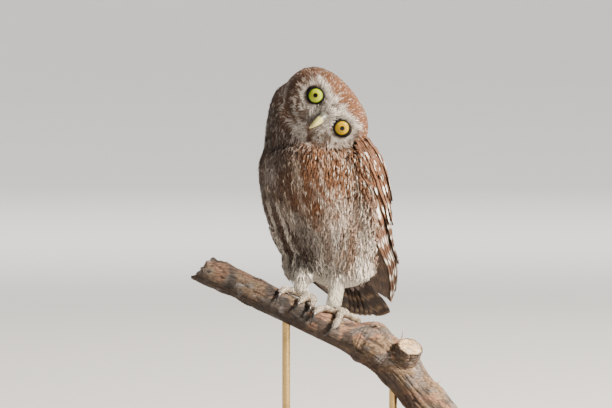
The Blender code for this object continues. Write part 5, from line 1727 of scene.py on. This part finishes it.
def build_stub():
    """The sawn stub of a side twig, its pale cut face inside a rim of bark."""
    rows, sides = 70, 84
    lean = unit(np.array(STUB_LEAN))
    share = np.linspace(0.1, 1.0, rows)
    widths = STUB_RADIUS * np.interp(share, (0.1, 0.55, 0.8, 1.0), (1.25, 1.12, 1.0, 0.97))
    middle = branch_at(STUB_X)[0] + lean * (STUB_LENGTH * share)[:, None]
    across = unit(np.cross(lean, np.array([0.0, 1.0, 0.0])))
    turn = full_turn(sides)
    ring = ring_of(turn, across, np.cross(across, lean))
    length = np.repeat(STUB_LENGTH * share, sides)
    around = np.tile(turn, rows)
    field = np.stack([length / 4, np.cos(around) * 3, np.sin(around) * 3], -1)
    plates = cloud(field, 1, 61)
    furrow = np.abs(cloud(field * (0.5, 1.5, 1.5), 1, 62) - 0.5) * 2
    relief = 1.2 * (plates - 0.5) - 0.8 * (1 - soft(furrow, 0, 0.2))
    relief = relief + 0.35 * np.sin(length * 2.2 + 2 * plates)
    out = np.tile(ring, (rows, 1))
    points = (np.repeat(middle, sides, 0) + out * (np.repeat(widths, sides) + relief)[:, None]) * MM
    colour = bark_colour(points, np.full(len(points), 50.0), np.degrees(around), furrow, plates)
    grid = points.reshape(rows, sides, 3)
    steps = np.array([0.93, 0.90, 0.86, *np.linspace(1, 0.03, 26)[4:]])
    end = grid[-1].mean(0)
    dip = np.interp(steps, (0, 0.84, 0.92, 1.0), (0.5, 0.35, -0.15, 0.0))
    face = end + (grid[-1] - end) * steps[:, None, None]
    rough = cloud(face / MM, 1.4, 63) - 0.5
    face = face - lean * MM * (dip[:, None] + 0.5 * rough)[..., None]
    reach = np.repeat(steps, sides) * STUB_RADIUS
    wood = cut_wood(reach, face.reshape(-1, 3))
    radial = np.tile(turn, len(steps))
    crack = bell(np.abs(np.sin(radial * 1.5 + 0.4)), 0.035) * soft(reach, 1.5, 4) * (1 - soft(reach, 8, 9.5))
    wood = mixed(wood, (0.10, 0.06, 0.035), 0.8 * crack)
    wood = mixed(wood, (0.17, 0.11, 0.075), soft(reach, 9.6, 10.1))
    points, faces = closed_tube(np.concatenate([grid, face]))
    colour = np.concatenate([colour, wood, colour[:1], wood[-1:]])
    made("side_twig_stub", points, faces, "dry_bark", colour, turn_out=True)


# Each splinter's x, angle, length, half width and aim
SPLINTERS = (
    (44.5, 84, 9.5, 1.1, (0.15, 0.1, 1.0)),
    (28, 60, 4.5, 1.5, (-0.3, -0.6, 0.7)),
    (47, 40, 5.0, 1.3, (0.3, -0.7, 0.5)),
    (-96, 100, 4.0, 1.2, (-0.5, 0.1, 0.8)),
    (76, 95, 5.0, 1.4, (0.4, 0.2, 0.8)),
)


def build_splinters():
    """Small splinters and twig ends on the knot and the broken end."""
    sheets, faces, count = [], [], 0
    for number, (x, angle, length, size, aim) in enumerate(SPLINTERS):
        root = on_branch(x, angle, -1.2)[0]
        aim = unit(np.array(aim))
        share = np.linspace(0, 1, 12)
        centres = root + aim * (share * length * MM)[:, None]
        centres = centres + np.array([0.6, 0.2, 0]) * MM * np.sin(share * 3 + number)[:, None]
        side = unit(np.cross(aim, np.array([0.3, 1.0, 0.2])))
        over = np.cross(side, aim)
        thick = size * (1 - 0.86 * share) * (1 + 0.2 * np.sin(share * 9 + number))
        side, over = np.tile(side, (12, 1)), np.tile(over, (12, 1))
        points, parts = closed_tube(tube_rings(centres, side, over, thick * MM, thick * 0.7 * MM, 10))
        sheets.append(points)
        faces += [part + count for part in parts]
        count += len(points)
    points = np.concatenate(sheets)
    colour = mixed((0.30, 0.22, 0.17), (0.60, 0.46, 0.34), cloud(points / MM, 1.5, 71))
    made("bark_splinters", points, faces, "dry_bark", colour, turn_out=True)


def toe_path(stops, steps):
    """Places and radii along one toe on the bark."""
    last = len(stops) - 1
    table = [(i, *stop, TOE_BASE + (TOE_END - TOE_BASE) * i / last) for i, stop in enumerate(stops)]
    x, angle, radius = read(table, np.linspace(0, last, steps)).T
    return on_branch(x, angle, radius + OFF_BARK), radius


def build_foot(label):
    """One foot: pad and toes in one skin with jointed swellings, and the bristles on their tops."""
    (x, angle), toes = FEET[label]
    shape = bmesh.new()
    _, _, along, over, front = branch_at(x)
    place = on_branch(x, angle, PAD_SIZE[2] + 0.35)[0]
    bmesh.ops.create_uvsphere(shape, u_segments=40, v_segments=24, radius=1)
    turn = Matrix((along[0], front[0], over[0])).transposed().to_4x4()
    size = Matrix.Diagonal((*(s * MM for s in PAD_SIZE), 1))
    bmesh.ops.transform(shape, matrix=Matrix.Translation(place) @ turn @ size, verts=shape.verts)
    for _, stops, _ in toes:
        steps = 40
        path, radius = toe_path(stops, steps)
        share = np.linspace(0, 1, steps)
        radius = radius * (1 + 0.09 * np.cos(share * 2 * np.pi * 2.6) + 0.05 * np.sin(share * 31))
        ahead = unit(np.gradient(path, axis=0))
        side = unit(np.cross(ahead, over[0]))
        up = np.cross(side, ahead)
        rings = tube_rings(path, side, up, radius * MM, radius * 0.97 * MM, 20)
        cap = path[-1] + (rings[-1] - path[-1]) * 0.7 + ahead[-1] * radius[-1] * 0.35 * MM
        points, faces = closed_tube(np.concatenate([rings, cap[None]]))
        points[-2] = path[0] - ahead[0] * radius[0] * 0.5 * MM
        points[-1] = path[-1] + ahead[-1] * radius[-1] * 0.5 * MM
        verts = [shape.verts.new(point) for point in points.tolist()]
        for part in faces:
            for face in part.tolist():
                shape.faces.new([verts[i] for i in face])
    bmesh.ops.recalc_face_normals(shape, faces=shape.faces)
    points, normals, triangles = mesh_arrays(remeshed(shape, 0.55 * MM, 0.5, 4))
    colour = mixed(TOE_PALE, TOE_DARK, soft(cloud(points / MM, 1.6, 81), 0.35, 0.75))
    made("foot_skin_" + label, points, triangles, "toe_scales", colour, ("foot_" + label,))
    toe_bristles(label, points, normals, toes)
    for name, stops, claw_end in toes:
        build_claw(f"claw_{label}_{name}", stops[-1], claw_end)


def toe_bristles(label, points, normals, toes):
    """Short pale bristle feathers over the tops of the toes, thickest at the foot's root."""
    draw = np.random.default_rng(90 if label == "left" else 91)
    paths = [toe_path(stops, 24)[0] for _, stops, _ in toes]
    lines = np.concatenate(paths)
    ahead = np.concatenate([unit(np.gradient(path, axis=0)) for path in paths])
    share = np.concatenate([np.linspace(0, 1, 24)] * len(paths))
    tree = KDTree(len(lines))
    for i, point in enumerate(lines.tolist()):
        tree.insert(point, i)
    tree.balance()
    picked = draw.permutation(len(points))
    near = np.array([tree.find(points[i])[1] for i in picked.tolist()])
    outward = unit(points[picked] - branch_at(points[picked][:, 0] / MM)[0] * MM)
    top = (normals[picked] * outward).sum(1)
    wanted = (0.50 - 0.25 * share[near]) * (0.4 + 0.6 * (top > 0.5))
    keep = (top > 0.15) & (draw.random(len(picked)) < wanted)
    picked, near = picked[keep], near[keep]
    normal = normals[picked]
    way = square_to(ahead[near], normal)
    colours = mixed(CREAM, (0.33, 0.27, 0.23), draw.random(len(picked)) * 0.9), (0.62, 0.55, 0.47)
    spikes(
        "toe_bristles_" + label, "downy_feathers", points[picked], normal, way, (2.9, 0.30),
        0.28, colours, foot_map, draw,
    )


def foot_map(points):
    """The place of a root on an unwrap of the feet: along the branch and round it."""
    x = points[:, 0] / MM
    centre, _, _, over, front = branch_at(x)
    off = points / MM - centre
    turn = (np.arctan2((off * over).sum(1), (off * front).sum(1)) + np.pi) / (2 * np.pi)
    return np.stack([0.03 + 0.94 * np.clip((x + 60) / 85, 0, 1), 0.03 + 0.94 * turn], -1)


def build_claw(name, start, end):
    """One curved claw, black at its tip and greyer at its root."""
    rows, sides = 26, 18
    share = np.linspace(-0.12, 1, rows)
    x = start[0] + (end[0] - start[0]) * share
    angle = start[1] + (end[1] - start[1]) * share
    radius = CLAW_ROOT * (1 - 0.86 * np.clip(share, 0, 1) ** 1.15)
    arch = 1.5 * np.sin(np.pi * np.clip(share, 0, 1))
    centres = on_branch(x, angle, TOE_END * (1 - share) + radius * share + OFF_BARK + arch)
    ahead = unit(np.gradient(centres, axis=0))
    side = unit(np.cross(ahead, np.array([1.0, 0.05, 0.0])))
    over = np.cross(side, ahead)
    rings = tube_rings(centres, over, side, radius * 0.86 * MM, radius * 1.05 * MM, sides)
    points, faces = closed_tube(rings)
    tone = np.append(np.repeat(share, sides), (0.0, 1.0))
    colour = mixed(CLAW_GREY, CLAW_BLACK, soft(tone, 0.0, 0.45))
    made(name + "_horn", points, faces, "claw_gloss", colour, (name,), turn_out=True)


# Studio, in metres

# The floor's section: how far out, and how high
FLOOR_SWEEP = (
    (0.4, 0.0),
    (1.0, 0.0),
    (2.0, 0.0),
    (4.0, 0.0),
    (6.0, 0.0),
    (8.0, 0.0),
    (9.5, 0.25),
    (10.6, 0.8),
    (11.4, 1.7),
    (11.9, 2.9),
    (12.1, 4.2),
    (12.2, 6.0),
    (12.2, 9.0),
)
OWL_MIDDLE, NEUTRAL = (-0.01, 0.0, 0.23), (1.0, 0.99, 0.97)
# The lights that use the key's or the fill's power: name, power and share of it, place, size and colour
LIGHTS = (
    ("key", "key", 1.0, (2.55, -1.25, 1.80), 0.40, (1.0, 0.90, 0.77)),
    ("fill", "fill", 1.0, (-2.2, -1.9, 1.2), 1.6, (0.84, 0.91, 1.0)),
    ("rim", "fill", 1.5, (0.9, 2.3, 1.7), 0.9, (1.0, 0.95, 0.88)),
)
# The two lights on the wall: degrees round the owl, how far out and how high, and where they aim
WALL_TURNS, WALL_REACH, WALL_HEIGHT, WALL_AIM = (62, 118), 4.6, 3.6, (10, 0.5)
CAMERA_LENS, CAMERA_SENSOR, CAMERA_RISE = 300, 36, 2.0
CAMERA_AIM, CAMERA_DISTANCE = (-0.02494, 0.0, 0.23736), 4.386


def build_floor(colour):
    """A pale floor that sweeps up into a wall all round, far outside every view."""
    sides = 96
    turn = full_turn(sides)
    reach, height = np.array(FLOOR_SWEEP).T[:, :, None]
    grid = np.stack([reach * np.cos(turn), reach * np.sin(turn), height * np.ones(sides)], -1)
    points = np.concatenate([grid.reshape(-1, 3), np.zeros((1, 3))])
    around = np.arange(sides)
    centre = np.stack([(around + 1) % sides, around, np.full(sides, len(points) - 1)], -1)
    mesh = bpy.data.meshes.new("studio_floor")
    sweep = grid_faces(len(FLOOR_SWEEP), sides, True)
    mesh.from_pydata(points.tolist(), [], sweep.tolist() + centre.tolist())
    mesh.polygons.foreach_set("use_smooth", np.ones(len(mesh.polygons), bool))
    mesh.materials.append(floor_material(colour))
    linked(bpy.data.objects.new("studio_floor", mesh))


def add_light(name, place, aim, energy, size, colour=NEUTRAL):
    """A soft square light that the camera doesn't see."""
    light = bpy.data.lights.new(name, "AREA")
    light.energy, light.size, light.color = energy, size, colour
    obj = linked(bpy.data.objects.new(name, light))
    obj.location = place
    obj.rotation_euler = (Vector(aim) - Vector(place)).to_track_quat("-Z", "Y").to_euler()
    obj.visible_camera = False


def build_camera():
    """The photograph's view: a long lens a little above the owl's breast."""
    data = bpy.data.cameras.new("camera")
    data.lens, data.sensor_width, data.clip_end = CAMERA_LENS, CAMERA_SENSOR, 100
    obj = linked(bpy.data.objects.new("camera", data))
    rise = math.radians(CAMERA_RISE)
    back = Vector((0, -math.cos(rise), math.sin(rise)))
    obj.location = Vector(CAMERA_AIM) + back * CAMERA_DISTANCE
    obj.rotation_euler = (-back).to_track_quat("-Z", "Y").to_euler()
    bpy.context.scene.camera = obj


def build_world(strength):
    """An even pale sky."""
    world = bpy.data.worlds.new("studio_air")
    bpy.context.scene.world = world
    world.use_nodes = True
    air = world.node_tree.nodes["Background"]
    air.inputs["Color"].default_value = (0.93, 0.96, 1.0, 1)
    air.inputs["Strength"].default_value = strength


# The add-on


def colour_of(name, description, default):
    """A colour that the user may change."""
    return bpy.props.FloatVectorProperty(
        name=name, description=description, subtype="COLOR", size=3, default=default, min=0, max=1
    )


class OwlPlumage(bpy.types.PropertyGroup):
    """What may be changed on the plumage"""

    spread: bpy.props.FloatProperty(
        name="Feather spacing",
        description="How far apart the small feathers are, 1 for the full coat",
        default=1.0,
        min=0.8,
        max=3.0,
    )


class OwlEyes(bpy.types.PropertyGroup):
    """What may be changed on the eyes and the bill"""

    # The two irises are one yellow, painted as two: a cooler lime on the shaded right eye and a warmer gold
    # on the lit left eye, as painted shade and painted light.
    shaded_right_iris: colour_of("Right iris", "Colour of the bird's right iris", (0.36, 0.50, 0.022))
    lit_left_iris: colour_of("Left iris", "Colour of the bird's left iris", (0.52, 0.34, 0.006))
    horn: colour_of("Bill", "Colour of the bill's horn", (0.60, 0.55, 0.20))


class OwlStand(bpy.types.PropertyGroup):
    """What may be changed on the stand"""

    wood: colour_of("Base wood", "Colour of the base's wood", (0.20, 0.105, 0.055))
    grain: colour_of("Base grain", "Colour of the wood's dark grain", (0.075, 0.038, 0.02))
    brass: colour_of("Rods", "Colour of the brass rods", (0.62, 0.42, 0.17))


class OwlStudio(bpy.types.PropertyGroup):
    """What may be changed in the studio"""

    paper: colour_of("Floor", "Colour of the floor", (0.70, 0.69, 0.67))
    key: bpy.props.FloatProperty(
        name="Key light", description="Power of the warm light", default=500.0, min=0, unit="POWER"
    )
    fill: bpy.props.FloatProperty(
        name="Fill light", description="Power of the cool light", default=10.0, min=0, unit="POWER"
    )
    sky: bpy.props.FloatProperty(
        name="Sky", description="Strength of the even light from all round", default=0.12, min=0
    )


class OWL_OT_coat(bpy.types.Operator):
    """Make the skin and the small feathers over it"""

    bl_idname = "owl.coat"
    bl_label = "Skin and small feathers"

    def execute(self, context):
        build_skin()
        make_coat(context.scene.owl_plumage.spread)
        return {"FINISHED"}


class OWL_OT_wings(bpy.types.Operator):
    """Make both folded wings, feather by feather"""

    bl_idname = "owl.wings"
    bl_label = "Wings"

    def execute(self, context):
        build_wing("left", 1)
        build_wing("right", -1)
        return {"FINISHED"}


class OWL_OT_tail(bpy.types.Operator):
    """Make the tail and its coverts"""

    bl_idname = "owl.tail"
    bl_label = "Tail"

    def execute(self, context):
        build_tail()
        return {"FINISHED"}


class OWL_OT_eyes(bpy.types.Operator):
    """Make the eyes and their lids"""

    bl_idname = "owl.eyes"
    bl_label = "Eyes and lids"

    def execute(self, context):
        eyes = context.scene.owl_eyes
        # Each eye gets its iris colour, the right one in painted shade and the left one in painted light.
        for label, side, iris in (("right", -1, eyes.shaded_right_iris), ("left", 1, eyes.lit_left_iris)):
            iris = np.array(iris)
            build_eye(label, side, iris, mixed(iris * 0.75, (0.36, 0.19, 0.01), 0.35))
            build_lids(label, side)
        return {"FINISHED"}


class OWL_OT_bill(bpy.types.Operator):
    """Make the bill and the bristles at its root"""

    bl_idname = "owl.bill"
    bl_label = "Bill"

    def execute(self, context):
        horn = tuple(context.scene.owl_eyes.horn)
        colours = (horn, (0.10, 0.10, 0.085), (0.74, 0.68, 0.34))
        build_mandible("bill_upper", UPPER_BILL, colours)
        build_mandible("bill_lower", LOWER_BILL, colours)
        build_bristles()
        return {"FINISHED"}


class OWL_OT_feet(bpy.types.Operator):
    """Make the feet, their bristles and the claws"""

    bl_idname = "owl.feet"
    bl_label = "Feet and claws"

    def execute(self, context):
        build_foot("left")
        build_foot("right")
        return {"FINISHED"}


class OWL_OT_perch(bpy.types.Operator):
    """Make the branch with its bark, stub and splinters"""

    bl_idname = "owl.perch"
    bl_label = "Branch"

    def execute(self, context):
        build_branch()
        build_stub()
        build_splinters()
        return {"FINISHED"}


class OWL_OT_stand(bpy.types.Operator):
    """Give the stand its walnut and brass"""

    bl_idname = "owl.stand"
    bl_label = "Display stand"

    def execute(self, context):
        facts = context.scene.owl_stand
        walnut = walnut_material((*facts.wood, 1), (*facts.grain, 1))
        brass = brass_material((*facts.brass, 1))
        finishes = {"stand_base": walnut, "stand_rod_left": brass, "stand_rod_right": brass}
        for name, material in finishes.items():
            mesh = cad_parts[name].data
            mesh.materials.clear()
            mesh.materials.append(material)
        return {"FINISHED"}


class OWL_OT_studio(bpy.types.Operator):
    """Make the floor, the lights and the camera"""

    bl_idname = "owl.studio"
    bl_label = "Studio"

    def execute(self, context):
        facts = context.scene.owl_studio
        build_floor((*facts.paper, 1))
        for name, power, share, place, size, colour in LIGHTS:
            add_light(name, place, OWL_MIDDLE, getattr(facts, power) * share, size, colour)
        for number, degrees in enumerate(WALL_TURNS):
            turn = np.array([math.cos(math.radians(degrees)), math.sin(math.radians(degrees))])
            place, aim = (*turn * WALL_REACH, WALL_HEIGHT), (*turn * WALL_AIM[0], WALL_AIM[1])
            add_light(f"wall_{number}", place, aim, facts.key * 0.55, 4.0)
        add_light("overhead", (0.0, 3.2, 4.6), (0.0, 4.6, 0.0), facts.key * 0.45, 4.5)
        build_world(facts.sky)
        build_camera()
        return {"FINISHED"}


PIECES = (
    OWL_OT_perch, OWL_OT_stand, OWL_OT_coat, OWL_OT_wings, OWL_OT_tail,
    OWL_OT_eyes, OWL_OT_bill, OWL_OT_feet, OWL_OT_studio,
)
FACTS = {"owl_plumage": OwlPlumage, "owl_eyes": OwlEyes, "owl_stand": OwlStand, "owl_studio": OwlStudio}


class OWL_PT_panel(bpy.types.Panel):
    """Lists the owl's pieces and their sizes and colours"""

    bl_idname = "OWL_PT_panel"
    bl_label = "Little owl"
    bl_space_type = "VIEW_3D"
    bl_region_type = "UI"
    bl_category = "Owl"

    def draw(self, context):
        for name, kind in FACTS.items():
            box = self.layout.box()
            for key in kind.__annotations__:
                box.prop(getattr(context.scene, name), key)
        for piece in PIECES:
            self.layout.operator(piece.bl_idname)


def register():
    """Gives the pieces, their sizes and colours and the panel to the program."""
    for kind in (*FACTS.values(), *PIECES, OWL_PT_panel):
        bpy.utils.register_class(kind)
    for name, kind in FACTS.items():
        setattr(bpy.types.Scene, name, bpy.props.PointerProperty(type=kind))


def unregister():
    """Takes them away again."""
    for name in FACTS:
        delattr(bpy.types.Scene, name)
    for kind in reversed((*FACTS.values(), *PIECES, OWL_PT_panel)):
        bpy.utils.unregister_class(kind)


def main():
    """Makes every piece in order."""
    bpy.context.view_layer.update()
    register()
    for piece in PIECES:
        getattr(bpy.ops.owl, piece.bl_idname.split(".")[1])()


if __name__ == "__main__":
    main()
